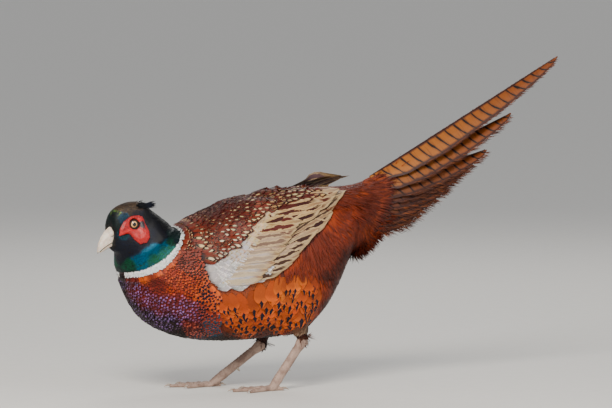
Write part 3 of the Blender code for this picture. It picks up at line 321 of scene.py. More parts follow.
def heartPattern(tree, across, along, centre):  # cream heart, black line, pale line, chestnut border
    reach = readAttribute(tree, "reach", "Fac")
    chance = readAttribute(tree, "chance", "Fac")
    place = addNode(tree, "ShaderNodeCombineXYZ", {0: across, 1: calc(tree, "MULTIPLY", along, 2.0), 2: chance})
    waver = calc(tree, "MULTIPLY_ADD", noiseOf(tree, place.outputs[0], 1.3, 3.0), 0.7, -0.35)
    rise = calc(tree, "DIVIDE", calc(tree, "SUBTRACT", along, reach), 0.36)
    wide = calc(tree, "DIVIDE", calc(tree, "ADD", across, waver), 0.50)
    spot = calc(tree, "SQRT", calc(tree, "ADD", calc(tree, "MULTIPLY", wide, wide), calc(tree, "MULTIPLY", rise, rise)))
    spot = calc(tree, "MULTIPLY", spot, readAttribute(tree, "size", "Fac"))
    border = mixColours(tree, rampUp(tree, along, 0.2, 0.55), readAttribute(tree, "fringe"), readAttribute(tree, "ground"))
    line = calc(tree, "MULTIPLY", rampUp(tree, spot, 1.05, 0.9), 0.55)
    pale = mixColours(tree, line, border, tuple(colour["buff"] * 0.7))
    black = mixColours(tree, rampUp(tree, spot, 0.90, 0.80), pale, tuple(colour["inkBlack"]))
    heart = mixColours(tree, rampUp(tree, spot, 0.60, 0.46), black, readAttribute(tree, "mark"))
    edge = calc(tree, "MULTIPLY", rampUp(tree, calc(tree, "MULTIPLY_ADD", centre, 0.25, along), 1.04, 1.16), 0.8)
    rimmed = mixColours(tree, edge, heart, readAttribute(tree, "fringe"))
    streak = calc(tree, "MULTIPLY", rampUp(tree, centre, 0.13, 0.07), rampUp(tree, along, 0.62, 0.45))
    return mixColours(tree, streak, rimmed, tuple(colour["inkBlack"]))


def streakPattern(tree, across, along, centre):  # wine-brown flames edged with cream on a buff vane
    reach = readAttribute(tree, "reach", "Fac")
    chance = readAttribute(tree, "chance", "Fac")
    inputs = {0: calc(tree, "MULTIPLY", across, 1.2), 1: calc(tree, "MULTIPLY", along, 2.6), 2: chance}
    spot = addNode(tree, "ShaderNodeCombineXYZ", inputs)
    waver = calc(tree, "MULTIPLY_ADD", noiseOf(tree, spot.outputs[0], 1.7, 5.0, 0.62), 1.0, -0.5)
    moved = calc(tree, "ABSOLUTE", calc(tree, "ADD", across, waver))
    apart = calc(tree, "ABSOLUTE", calc(tree, "SUBTRACT", moved, 0.50))
    half = calc(tree, "MULTIPLY_ADD", along, -0.12, 0.31)
    beyond = calc(tree, "SUBTRACT", apart, half)
    ended = rampUp(tree, calc(tree, "ADD", along, calc(tree, "MULTIPLY", waver, 0.4)), reach, calc(tree, "SUBTRACT", reach, 0.12))
    flame = calc(tree, "MULTIPLY", rampUp(tree, beyond, 0.03, -0.04), ended)
    cream = calc(tree, "MULTIPLY", rampUp(tree, beyond, 0.15, 0.05), 0.6)
    fine = addNode(tree, "ShaderNodeCombineXYZ", {0: calc(tree, "MULTIPLY", across, 9.0), 1: calc(tree, "MULTIPLY", along, 5.0), 2: chance})
    mottle = calc(tree, "MULTIPLY", rampUp(tree, noiseOf(tree, fine.outputs[0], 1.2, 4.0), 0.45, 0.75), 0.4)
    tip = mixColours(tree, rampUp(tree, along, 0.62, 0.95), readAttribute(tree, "ground"), readAttribute(tree, "fringe"))
    mottled = mixColours(tree, mottle, tip, tuple(colour["umber"]))
    lined = mixColours(tree, cream, mottled, tuple(colour["cream"]))
    flamed = mixColours(tree, flame, lined, readAttribute(tree, "mark"))
    rim = calc(tree, "MULTIPLY", rampUp(tree, centre, 0.86, 0.98), 0.6)
    return mixColours(tree, rim, flamed, tuple(colour["cream"]))


def barPattern(tree, across, along, centre):  # narrow dark bars, swept towards the tip on both sides
    size = readAttribute(tree, "size", "Fac")
    chance = readAttribute(tree, "chance", "Fac")
    spot = addNode(tree, "ShaderNodeCombineXYZ", {0: across, 1: calc(tree, "MULTIPLY", along, size), 2: chance})
    waver = calc(tree, "MULTIPLY_ADD", noiseOf(tree, spot.outputs[0], 0.12, 2.0), 0.5, -0.25)
    lean = calc(tree, "MULTIPLY", calc(tree, "MULTIPLY", across, readAttribute(tree, "reach", "Fac")), 0.30)
    swept = calc(tree, "SUBTRACT", lean, calc(tree, "MULTIPLY", calc(tree, "MULTIPLY", centre, centre), 0.16))
    turns = calc(tree, "ADD", calc(tree, "DIVIDE", calc(tree, "MULTIPLY", along, size), 13.4), calc(tree, "ADD", swept, waver))
    away = calc(tree, "ABSOLUTE", calc(tree, "SUBTRACT", calc(tree, "FRACT", turns), 0.5))
    bar = rampUp(tree, away, 0.105, 0.06)
    halo = calc(tree, "MULTIPLY", rampUp(tree, away, 0.3, 0.1), 0.3)
    edge = rampUp(tree, calc(tree, "ADD", centre, calc(tree, "MULTIPLY", waver, 0.6)), 0.60, 0.86)
    tipped = mixColours(tree, rampUp(tree, along, 0.1, 1.0), readAttribute(tree, "ground"), tuple(colour["tailOchre"]))
    cloud = calc(tree, "MULTIPLY", rampUp(tree, noiseOf(tree, spot.outputs[0], 0.35, 4.0), 0.5, 0.75), 0.5)
    tipped = mixColours(tree, cloud, tipped, tuple(colour["tailBrown"]))
    ground = mixColours(tree, halo, tipped, tuple(colour["tailBrown"]))
    fringed = mixColours(tree, edge, ground, readAttribute(tree, "fringe"))
    fade = calc(tree, "SUBTRACT", 1.0, calc(tree, "MULTIPLY", edge, 0.55))
    return mixColours(tree, calc(tree, "MULTIPLY", bar, fade), fringed, readAttribute(tree, "mark"))


def hairPattern(tree, across, along, centre):
    reach = readAttribute(tree, "reach", "Fac")
    share = rampUp(tree, calc(tree, "SUBTRACT", along, reach), -0.2, 0.2)
    return mixColours(tree, share, readAttribute(tree, "ground"), readAttribute(tree, "mark"))


materials = {
    "small": featherMaterial("smallFeathers", scallopPattern, 10.0, 0.42),
    "gloss": featherMaterial("glossFeathers", scallopPattern, 11.0, 0.32),
    "breast": featherMaterial("breastFeathers", tickPattern, 20.0, 0.40),
    "flank": featherMaterial("flankFeathers", teardropPattern, 36.0, 0.50, contrast=0.45),
    "mantle": featherMaterial("mantleFeathers", heartPattern, 28.0, 0.45, contrast=0.28),
    "covert": featherMaterial("covertFeathers", scallopPattern, 24.0, 0.60, contrast=0.36),
    "quill": featherMaterial("quillFeathers", streakPattern, 80.0, 0.52, contrast=0.4),
    "tail": featherMaterial("tailFeathers", barPattern, 190.0, 0.45, contrast=0.3, bump=0.2),
    "hair": featherMaterial("hairFeathers", hairPattern, 6.0, 0.42, contrast=0.25),
}
print("materials made")

# The bird's plan in the side view, in millimetres.
headPlan = {"centre": (-260.4, -14.0, 209.8), "yaw": 22.0, "pitch": 20.0, "eyeSeat": (0.0, 17.0, 0.0),
            "eyeAxis": (0.24, 1.0, 0.05)}
ringPlan = {"top": (-197.0, 203.0), "front": (-270.5, 153.0), "bulge": 11.5, "shift": 3.5, "width": 6.6,
            "gapY": -13.0, "gapHalf": 6.5}


def headAxes():
    yaw, pitch = math.radians(headPlan["yaw"]), math.radians(headPlan["pitch"])
    forward = Vector((-math.cos(yaw) * math.cos(pitch), -math.sin(yaw) * math.cos(pitch), -math.sin(pitch)))
    left = Vector((math.sin(yaw), -math.cos(yaw), 0))
    return np.array([forward, left, forward.cross(left)])


axesOfHead = headAxes()


def toHead(places):  # from millimetres in the room to forward, left and up from the middle of the head
    return (places - np.array(headPlan["centre"])) @ axesOfHead.T


def fromHead(places):
    return np.asarray(places) @ axesOfHead + np.array(headPlan["centre"])


ringTop, ringFront = np.array(ringPlan["top"]), np.array(ringPlan["front"])
ringMiddle = (ringTop + ringFront) / 2
ringDown = (ringFront - ringTop) / np.linalg.norm(ringFront - ringTop)
ringRear = np.array([-ringDown[1], ringDown[0]])
ringHalf = np.linalg.norm(ringFront - ringTop) / 2


def ringPlace(places):  # distance behind the ring's lower edge, and the place down it from -1 to 1
    offset = places[:, [0, 2]] - ringMiddle
    down = np.clip(offset @ ringDown / ringHalf, -1.2, 1.2)
    bow = ringPlan["shift"] + ringPlan["bulge"] * np.clip(1 - down ** 2, 0, 1)
    return offset @ ringRear - bow, down


wingOutline = np.array([(-176, 163), (-172, 141), (-155, 129.5), (-128, 130.5), (-105, 137.5), (-66, 161),
                        (-40, 184), (-22, 208), (-6, 228), (22, 252), (30, 262), (-40, 268), (-104, 262),
                        (-150, 250), (-190, 225), (-186, 190)], float)


def insideOutline(outline, x, z):
    inside = np.zeros(len(x), bool)
    for (x1, z1), (x2, z2) in zip(outline, np.roll(outline, -1, axis=0)):
        crosses = (z1 > z) != (z2 > z)
        with np.errstate(divide="ignore", invalid="ignore"):
            where = (x2 - x1) * (z - z1) / (z2 - z1) + x1
        inside ^= crosses & (x < where)
    return inside


# The skin: one closed surface for head, neck, trunk, rump and thighs, inside the solids by the coat.
skinPlan = {"grow": 0.35, "voxel": 1.7, "smooth": 6, "body": 3.2, "neck": 2.0, "head": 1.0, "thigh": 1.4}
rumpPlan = [(46, 258, 20, 156, 27), (58, 263, 33, 164, 25), (70, 268, 48, 176, 21), (80, 271, 62, 192, 16), (88, 272, 76, 214, 9)]
thighPlan = {"left": ((-58, -40, 112), (-40, -32, 61)), "right": ((-66, 40, 106), (-77, 32, 51))}


def loftPiece(name, rings):
    rows, around = len(rings), len(rings[0])
    k = np.arange(around)
    after = (k + 1) % around
    faces = [[list(reversed(range(around)))], [list(range((rows - 1) * around, rows * around))]]
    for row in range(rows - 1):
        low, high = row * around, (row + 1) * around
        faces.append(np.stack([low + k, low + after, high + after, high + k], axis=1).tolist())
    mesh = bpy.data.meshes.new(name)
    mesh.from_pydata(np.reshape(rings, (-1, 3)).tolist(), [], sum(faces, []))
    piece = bpy.data.objects.new(name, mesh)
    bpy.context.scene.collection.objects.link(piece)
    activate(piece)
    bpy.ops.object.mode_set(mode="EDIT")
    bpy.ops.mesh.select_all(action="SELECT")
    bpy.ops.mesh.normals_make_consistent(inside=False)
    bpy.ops.object.mode_set(mode="OBJECT")
    return piece


def makeRumpCore():
    turn = np.linspace(0, 2 * np.pi, 28, endpoint=False)
    rings = []
    for topX, topZ, lowX, lowZ, half in rumpPlan:
        top, low = np.array((topX, 0, topZ)), np.array((lowX, 0, lowZ))
        middle, reach = (top + low) / 2, (top - low) / 2
        rings.append([(middle + reach * math.cos(a) + np.array((0, half * math.sin(a), 0))) * mm for a in turn])
    return loftPiece("rumpCore", rings)


def keepLargest(piece):
    activate(piece)
    bpy.ops.object.mode_set(mode="EDIT")
    bpy.ops.mesh.select_all(action="SELECT")
    bpy.ops.mesh.separate(type="LOOSE")
    bpy.ops.object.mode_set(mode="OBJECT")
    parts = sorted(bpy.context.selected_objects, key=lambda part: len(part.data.vertices))
    for part in parts[:-1]:
        bpy.data.objects.remove(part)
    return parts[-1]


def envelope(name, nodeNames, voxel, smooth, extra=()):
    piece = joinPieces([copyOfNode(node, node + "Copy") for node in nodeNames] + list(extra), name)
    writePoints(piece, readPoints(piece) + readNormals(piece) * skinPlan["grow"] * mm)
    applyModifier(piece, "REMESH", mode="VOXEL", voxel_size=voxel * mm)
    piece = keepLargest(piece)
    piece.name = name
    applyModifier(piece, "SMOOTH", factor=0.5, iterations=smooth)
    return piece


def surfaceOf(piece):
    mesh = piece.data
    mesh.calc_loop_triangles()
    corners = np.empty(len(mesh.loop_triangles) * 3, int)
    mesh.loop_triangles.foreach_get("vertices", corners)
    corners = corners.reshape(-1, 3)
    points = readPoints(piece)
    tree = BVHTree.FromPolygons(points.tolist(), corners.tolist())
    return {"tree": tree, "corners": corners, "points": points, "normals": readNormals(piece)}


def nearestOn(surface, points):  # the nearest places on a surface and its soft normals there
    find = surface["tree"].find_nearest
    found = [find(point) for point in points.reshape(-1, 3).tolist()]
    hits = np.array([hit[0][:] for hit in found])
    corner = surface["corners"][[hit[2] for hit in found]]
    away = np.linalg.norm(surface["points"][corner] - hits[:, None], axis=2) + 1e-6
    normals = (surface["normals"][corner] / away[..., None]).sum(axis=1)
    normals /= np.linalg.norm(normals, axis=1)[:, None]
    return hits.reshape(points.shape), normals.reshape(points.shape)


def thighShare(points):  # 0 on the trunk, 1 on a thigh
    share = np.zeros(len(points))
    for side, (top, hock) in thighPlan.items():
        top, hock = np.array(top) * mm, np.array(hock) * mm
        span = hock - top
        along = np.clip((points - top) @ span / (span @ span), 0, 1)
        away = np.linalg.norm(points - top - along[:, None] * span, axis=1)
        inside = ease(0.030, 0.022, away) * ease(0.094, 0.078, points[:, 2])
        share = np.maximum(share, inside)
    return share


def ringDistance(points):
    distance, down = ringPlace(points / mm)
    return np.maximum(distance, (points[:, 0] / mm - ringTop[0]) * 1.1), down


def coatDepth(points):
    distance, down = ringDistance(points)
    forward = toHead(points / mm)[:, 0]
    depth = skinPlan["neck"] + (skinPlan["body"] - skinPlan["neck"]) * ease(-12, 14, distance)
    onHead = ease(-42, -24, forward) * ease(4, -10, distance)
    depth = depth + (skinPlan["head"] - depth) * onHead
    return (depth + (skinPlan["thigh"] - depth) * thighShare(points)) * mm


rumpCore = makeRumpCore()
rumpTwin = makeRumpCore()
skin = envelope("skin", ["torso", "neck", "head", "eye_left", "eye_right", "thigh_left", "thigh_right"],
                skinPlan["voxel"], skinPlan["smooth"], [rumpCore])
writePoints(skin, readPoints(skin) - readNormals(skin) * (coatDepth(readPoints(skin)) + skinPlan["grow"] * mm)[:, None])
applyModifier(skin, "SMOOTH", factor=0.4, iterations=3)
skinSurface = surfaceOf(skin)
trunk = envelope("trunk", ["torso", "wing_left", "wing_right"], 2.4, 14, [rumpTwin])
writePoints(trunk, readPoints(trunk) - readNormals(trunk) * 2.9 * mm)
trunkSurface = surfaceOf(trunk)
bpy.data.objects.remove(trunk)
print("skin made:", len(skin.data.polygons), "faces")


# Where feathers grow and which way they lie.
def picturePlace(points):  # the side view seen a little from the front, in steps of 1.25 mm
    x, y, z = points.T / mm
    turn, rise = math.radians(15), math.radians(4)
    across = x * math.cos(turn) - y * math.sin(turn)
    depth = x * math.sin(turn) + y * math.cos(turn)
    return 327 + across / 1.25, 386 - (z * math.cos(rise) + depth * math.sin(rise)) / 1.25


def markingPlace(points):  # both sides of the body, and of the turned head, share one marking
    mirrored = points.copy()
    mirrored[:, 1] = -np.abs(mirrored[:, 1])
    head = toHead(points / mm)
    share = ease(-46, -26, head[:, 0]) * ease(2, -12, ringDistance(points)[0])
    head[:, 1] = np.abs(head[:, 1])
    turned = fromHead(head) * mm
    return picturePlace(blendRows(mirrored, turned, share))


def scapularLine(x):
    return np.interp(x, [-188, -173, -153, -132, -127, -114, -97, -60, 20, 60], [186, 163, 180, 194, 203, 216, 225, 236, 252, 258])


def bodyKind(points):  # which sort of feather grows at each place of the skin
    x, y, z = points.T / mm
    head = toHead(points / mm)
    px, py = markingPlace(points)
    distance, down = ringDistance(points)
    kinds = np.full(len(points), "breast", dtype="U8")
    kinds[px > 219 + 3 * rippleNoise(points, 0.012, 9)] = "flank"
    kinds[(z < 84) & (x > -190) & (np.abs(y) < 40)] = "belly"
    kinds[((px > 319) | ((px > 270) & (py < 269) & (x > -95))) & (z < 232)] = "vent"
    kinds[(z > scapularLine(x)) & (x > np.interp(z, [163, 203], [-174, -192]))] = "mantle"
    kinds[(x > 34) | ((x > 10) & (z > 222)) | ((x > -36) & (z > 236))] = "rump"
    kinds[thighShare(points) > 0.35] = "thigh"
    kinds[distance < ringWidth(down)] = "ring"
    kinds[distance < 0] = "neck"
    kinds[(distance < 0) & (head[:, 0] > -27)] = "head"
    hidden = insideOutline(wingOutline, x, z) & (np.abs(y) > 30) & (z < 250) & ~np.isin(kinds, ["neck", "head", "ring"])
    inner = insideOutline(wingOutline, x - 6, z + 14) & insideOutline(wingOutline, x + 7, z + 14) & hidden
    kinds[inner] = "none"
    return kinds


def lineX(z, first, second):
    return first[0] + (z - first[1]) * (second[0] - first[0]) / (second[1] - first[1])


def ringWidth(down):
    return np.interp(down, [-1.0, -0.6, -0.1, 0.5, 1.0], [2.6, 4.6, 7.4, 7.2, 5.0])


spacingPlan = {"head": 1.75, "neck": 2.4, "ring": 1.5, "breast": 4.2, "flank": 13.4, "belly": 4.6, "vent": 2.8,
               "mantle": 0.0, "rump": 1.8, "thigh": 2.0, "none": 0.0}


bodyLie = ([-230, -190, -140, -60, -20, 20], [0.56, 0.62, 0.28, -0.12, 0.35, 0.9], [-0.83, -0.76, -0.92, -0.97, -0.85, -0.45])


def lieOf(points, normals):  # the way the feathers point, along the skin
    x, y, z = points.T / mm
    side = np.sign(y)
    head = toHead(points / mm)
    distance, down = ringDistance(points)
    body = np.stack([np.interp(x, bodyLie[0], bodyLie[1]), side * 0.02, np.interp(x, bodyLie[0], bodyLie[2])], axis=1)
    back = np.stack([np.full(len(x), 1.0), side * 0.16 * ease(0, 20, np.abs(y)), np.full(len(x), 0.12)], axis=1)
    lie = blendRows(body, back, ease(-8, 10, z - scapularLine(x)) * ease(-205, -185, x))
    fan = np.stack([x - 2, y * 0.35, (z - 240) * 1.1 + 4], axis=1)
    fan /= np.linalg.norm(fan, axis=1)[:, None]
    lie = blendRows(lie, fan, ease(14, 44, x))
    neckwards = np.stack([np.full(len(x), 0.56), np.zeros(len(x)), np.full(len(x), -0.83)], axis=1)
    lie = blendRows(lie, neckwards, ease(6, -8, distance))
    low = ease(6, -14, head[:, 2])
    onHead = np.stack([-np.ones(len(x)), np.zeros(len(x)), -0.55 * low], axis=1) @ axesOfHead
    lie = blendRows(lie, onHead, ease(-40, -18, head[:, 0]) * ease(4, -8, distance))
    for sideName, (top, hock) in thighPlan.items():
        span = np.array(hock, float) - np.array(top, float)
        mine = thighShare(points) * (np.sign(points[:, 1]) == sides[sideName])
        lie = blendRows(lie, np.tile(span / np.linalg.norm(span) + np.array((0.25, 0, 0)), (len(x), 1)), mine)
    lie = lie - normals * (lie * normals).sum(axis=1)[:, None]
    return lie / (np.linalg.norm(lie, axis=1)[:, None] + 1e-9)


def scatter(surface, spacingOf, seed, turns=10):  # even random places, closer where the spacing is smaller
    rng = np.random.default_rng(seed)
    corners = surface["points"][surface["corners"]]
    areas = np.linalg.norm(np.cross(corners[:, 1] - corners[:, 0], corners[:, 2] - corners[:, 0]), axis=1) / 2
    spacing = spacingOf(corners.mean(axis=1))
    share = np.where(spacing > 0, areas / (0.87 * np.maximum(spacing, 1e-5) ** 2), 0)
    picked = rng.choice(len(share), int(share.sum()), p=share / share.sum())
    first, second = rng.random((2, len(picked)))
    flip = first + second > 1
    first, second = np.where(flip, 1 - first, first), np.where(flip, 1 - second, second)
    a, b, c = corners[picked].transpose(1, 0, 2)
    points = a + (b - a) * first[:, None] + (c - a) * second[:, None]
    for turn in range(turns):
        wanted = spacingOf(points)
        wanted = np.where(wanted > 0, wanted, 0.002)
        tree = KDTree(len(points))
        for k, point in enumerate(points.tolist()):
            tree.insert(point, k)
        tree.balance()
        near = [[hit[1] for hit in tree.find_n(point, 7)][1:] for point in points.tolist()]
        offset = points[:, None] - points[near]
        away = np.linalg.norm(offset, axis=2) + 1e-7
        push = np.clip(1.12 * wanted[:, None] - away, 0, None) / away
        points = points + 0.32 * (offset * push[..., None]).sum(axis=1)
        points, normals = nearestOn(surface, points)
    return points, normals


def flankScale(points):  # smaller towards the breast and under the wing
    px, py = markingPlace(points)
    return (0.58 + 0.42 * ease(216, 246, px)) * (0.6 + 0.4 * ease(268, 282, py))


def bodySpacing(points):
    kinds = bodyKind(points)
    spacing = np.zeros(len(points))
    for kind, value in spacingPlan.items():
        spacing[kinds == kind] = value * mm
    spacing *= np.where(kinds == "breast", 0.78 + 0.22 * ease(4, 30, ringDistance(points)[0]), 1)
    return spacing * np.where(kinds == "flank", flankScale(points), 1)


rootPlaces, rootNormals = scatter(skinSurface, bodySpacing, 11, 8)
rootKinds = bodyKind(rootPlaces)
rootLies = lieOf(rootPlaces, rootNormals)
print("feather places:", {kind: int((rootKinds == kind).sum()) for kind in spacingPlan})


# Vanes: each feather is a closed thin lens, laid along a surface from its root to its tip.
profiles = {"round": ((0, 0.12, 0.35, 0.6, 0.78, 0.9, 0.96, 1), (0.3, 0.55, 0.88, 1.0, 0.93, 0.74, 0.54, 0.2)),
            "long": ((0, 0.1, 0.5, 0.8, 0.92, 1), (0.45, 0.8, 1.0, 0.94, 0.74, 0.30)),
            "hair": ((0, 0.2, 0.6, 1), (0.6, 1.0, 0.75, 0.12)),
            "tail": ((0, 0.05, 0.14, 0.32, 0.62, 0.86, 0.96, 1), (0.25, 0.55, 0.9, 1.0, 0.80, 0.46, 0.24, 0.05))}


def rowPlaces(rows, dense=1.0):  # from root to tip, closer near the tip where dense is over 1
    return 1 - (1 - np.linspace(0, 1, rows)) ** dense


def vaneGrid(rows, columns, profile, bow, dense=1.0):
    t = rowPlaces(rows, dense)[:, None]
    s = np.linspace(-1, 1, columns)[None, :]
    width = np.interp(t, *profiles[profile])
    return t - bow * s ** 2 * t ** 2, s * width, t + 0 * s, s + 0 * t


tipDense = 1.4


def layVanes(surface, roots, normals, lies, plan, rng, scale=1.0):  # all numbers of the plan are millimetres or shares
    count = len(roots)
    along, across, t, s = vaneGrid(plan["rows"], plan["columns"], plan["profile"], plan["bow"], tipDense)
    length = plan["length"] * mm * rng.uniform(0.9, 1.12, count) * scale
    half = plan["half"] * mm * rng.uniform(0.92, 1.08, count) * scale
    sideways = np.cross(normals, lies)
    turn = rng.normal(0, plan["ruffle"], count)[:, None]
    lies = lies * np.cos(turn) + sideways * np.sin(turn)
    sideways = np.cross(normals, lies)
    curve = rng.normal(0, plan["ruffle"] * 0.5, count)[:, None, None] * t ** 2
    ahead = (along - 0.04) * length[:, None, None]
    beside = across * half[:, None, None] + curve * length[:, None, None]
    places = roots[:, None, None] + lies[:, None, None] * ahead[..., None] + sideways[:, None, None] * beside[..., None]
    hits, soft = nearestOn(surface, places)
    offset = places - hits
    away = np.linalg.norm(offset, axis=-1) + 1e-9
    hits = hits + offset * (np.clip(away - plan.get("free", 30) * mm, 0, None) / away)[..., None]
    high = plan["high"] * mm * rng.uniform(0.85, 1.08, count)
    rise = plan["low"] * mm + (high[:, None, None] - plan["low"] * mm) * t ** 0.9
    rise = rise + plan["camber"] * mm * (1 - s ** 2) * np.sin(np.pi * np.clip(t, 0.08, 0.96))
    return hits + soft * rise[..., None], soft


def barThickness(rows, columns, thickness, dense):
    t = rowPlaces(rows, dense)[1:-1, None]
    s = np.linspace(-1, 1, columns)[None, 1:-1]
    return thickness * mm * (1 - 0.6 * s ** 2) * (1 - 0.5 * t)


def vaneMesh(top, soft, thickness, dense=1.0):  # closed shells, with the rim shared by both faces
    count, rows, columns = top.shape[:3]
    lower = top[:, 1:-1, 1:-1] - soft[:, 1:-1, 1:-1] * barThickness(rows, columns, thickness, dense)[None, ..., None]
    points = np.concatenate([top.reshape(count, -1, 3), lower.reshape(count, -1, 3)], axis=1)
    upper = np.arange(rows * columns).reshape(rows, columns)
    under = upper.copy()
    under[1:-1, 1:-1] = rows * columns + np.arange((rows - 2) * (columns - 2)).reshape(rows - 2, columns - 2)
    faces = np.concatenate([np.stack([upper[:-1, :-1], upper[1:, :-1], upper[1:, 1:], upper[:-1, 1:]], axis=-1).reshape(-1, 4),
                            np.stack([under[:-1, :-1], under[:-1, 1:], under[1:, 1:], under[1:, :-1]], axis=-1).reshape(-1, 4)])
    spread = np.stack(np.meshgrid(np.linspace(0, 1, columns), rowPlaces(rows, dense)), axis=-1).reshape(-1, 2)
    spread = np.concatenate([spread, spread.reshape(rows, columns, 2)[1:-1, 1:-1].reshape(-1, 2)])
    each = points.shape[1]
    allFaces = faces[None] + (np.arange(count) * each)[:, None, None]
    return {"points": points.reshape(-1, 3), "faces": allFaces.reshape(-1, 4), "each": each, "count": count,
            "map": np.tile(spread[faces.ravel()], (count, 1)), "loops": faces.size}


# Each part holds a mesh of vanes, its marks for each vane, and each vane's place on the bake map.
def pieceOfVanes(name, material, parts, replaced=()):
    points = np.concatenate([part["mesh"]["points"] for part in parts])
    starts = np.cumsum([0] + [len(part["mesh"]["points"]) for part in parts[:-1]])
    faces = np.concatenate([part["mesh"]["faces"] + start for part, start in zip(parts, starts)])
    mesh = bpy.data.meshes.new(name)
    mesh.vertices.add(len(points))
    mesh.vertices.foreach_set("co", points.ravel())
    mesh.loops.add(faces.size)
    mesh.loops.foreach_set("vertex_index", faces.ravel())
    mesh.polygons.add(len(faces))
    mesh.polygons.foreach_set("loop_start", np.arange(0, faces.size, 4))
    mesh.polygons.foreach_set("use_smooth", np.ones(len(faces), bool))
    vaneMap = np.concatenate([part["mesh"]["map"] for part in parts])
    bakeMap = np.concatenate([bakePlaces(part) for part in parts])
    for label, values in (("vane", vaneMap), ("OFBake", bakeMap)):
        mesh.uv_layers.new(name=label).data.foreach_set("uv", values.ravel())
    for key in ("ground", "mark", "fringe", "reach", "chance", "gloss", "size"):
        values = [np.repeat(part["marks"][key], part["mesh"]["each"], axis=0) for part in parts]
        setAttribute(mesh, key, np.concatenate(values))
    mesh.update()
    mesh.validate()
    piece = bpy.data.objects.new(name, mesh)
    bpy.context.scene.collection.objects.link(piece)
    activate(piece)
    bpy.ops.object.shade_smooth_by_angle(angle=math.radians(60))
    print(name, "has", 2 * len(faces), "triangles")
    return finishPiece(piece, material, replaced)


def bakePlaces(part):  # small patches at each root's place, or one strip for each long feather
    mesh, spots = part["mesh"], part["spots"]
    if spots is None:
        strip = np.arange(mesh["count"]).repeat(mesh["loops"])
        low, width = part["strips"]
        across = low + (strip + 0.08 + mesh["map"][:, 0] * 0.84) * width
        return np.stack([across, 0.02 + mesh["map"][:, 1] * 0.96], axis=1)
    return np.repeat(spots, mesh["loops"], axis=0) + (mesh["map"] - 0.5) * 0.003


def unwrapPlaces(points, normals):  # a tube around the body's axis, opened along the belly
    x, y, z = points.T / mm
    axis = np.interp(x, [-300, -255, -190, -120, -20, 60, 110], [200, 205, 170, 152, 168, 222, 240])
    turn = np.arctan2(y, z - axis) / (2 * np.pi) + 0.5
    return np.stack([0.03 + 0.94 * (x + 305) / 425, 0.03 + 0.94 * turn], axis=1).clip(0.01, 0.99)


# Markings by place: px, py and size in the side view, then ground, mark, fringe, mark's start, gloss.
# The teal, spot-teal and emerald patches on the head and neck are partly the plumage's own green and partly painted
# sheen, laid by place.
headPaint = [
    (137, 205, 7, "bronze", "bronzeDark", "bronze", 0.6, 0.1), (127, 206, 5, "bronze", "bronzeDark", "bronze", 0.6, 0.1),
    (149, 208, 5, "bronzeDark", "inkBlack", "bronze", 0.4, 0.1), (112, 221, 5, "inkBlack", "greenBlack", "teal", 0.7, 0.15),
    (119, 218, 4, "inkBlack", "greenBlack", "teal", 0.7, 0.15), (110, 216, 0.9, "goldGreen", "greenBlack", "teal", 0.8, 0.2),
    (114, 213, 0.9, "goldGreen", "greenBlack", "teal", 0.8, 0.2), (118, 211.5, 0.9, "goldGreen", "emerald", "teal", 0.8, 0.2),
    (122, 211.5, 0.9, "goldGreen", "emerald", "teal", 0.8, 0.2), (125, 214.5, 0.9, "goldGreen", "teal", "teal", 0.8, 0.2),
    (127, 218.5, 2.5, "blueBlack", "spotTeal", "teal", 0.8, 0.2), (140, 213, 4, "inkBlack", "blueBlack", "teal", 0.6, 0.15),
    (152, 219, 7, "blueBlack", "inkBlack", "teal", 0.5, 0.2), (165, 223, 7, "blueBlack", "inkBlack", "teal", 0.5, 0.2),
    (150, 233, 7, "inkBlack", "blueBlack", "teal", 0.5, 0.2), (164, 234, 6, "blueBlack", "inkBlack", "teal", 0.6, 0.2),
    (127, 235, 3.5, "greenBlack", "spotTeal", "teal", 0.8, 0.25), (117, 245, 6, "inkBlack", "blueBlack", "teal", 0.6, 0.15),
    (123, 256, 6, "inkBlack", "blueBlack", "teal", 0.6, 0.15), (136, 247, 7, "inkBlack", "blueBlack", "teal", 0.6, 0.15),
    (172, 234, 4, "blueBlack", "greenBlack", "teal", 0.6, 0.2), (132, 263, 4, "greenBlack", "emerald", "teal", 0.6, 0.3),
    (141, 258, 4, "spotTeal", "teal", "teal", 0.5, 0.35), (150, 253, 4, "spotTeal", "teal", "teal", 0.45, 0.4),
    (159, 248, 4, "spotTeal", "teal", "teal", 0.45, 0.4), (167, 242, 3, "spotTeal", "teal", "teal", 0.6, 0.35),
    (171, 239, 3, "emerald", "greenBlack", "teal", 0.7, 0.35), (165, 250, 4, "teal", "emerald", "teal", 0.6, 0.35),
    (154, 260, 4, "teal", "emerald", "teal", 0.5, 0.35), (142, 266, 4, "emerald", "teal", "teal", 0.6, 0.35),
    (132, 270, 4, "emerald", "greenBlack", "teal", 0.6, 0.3), (121, 265, 4, "inkBlack", "greenBlack", "teal", 0.5, 0.2),
]
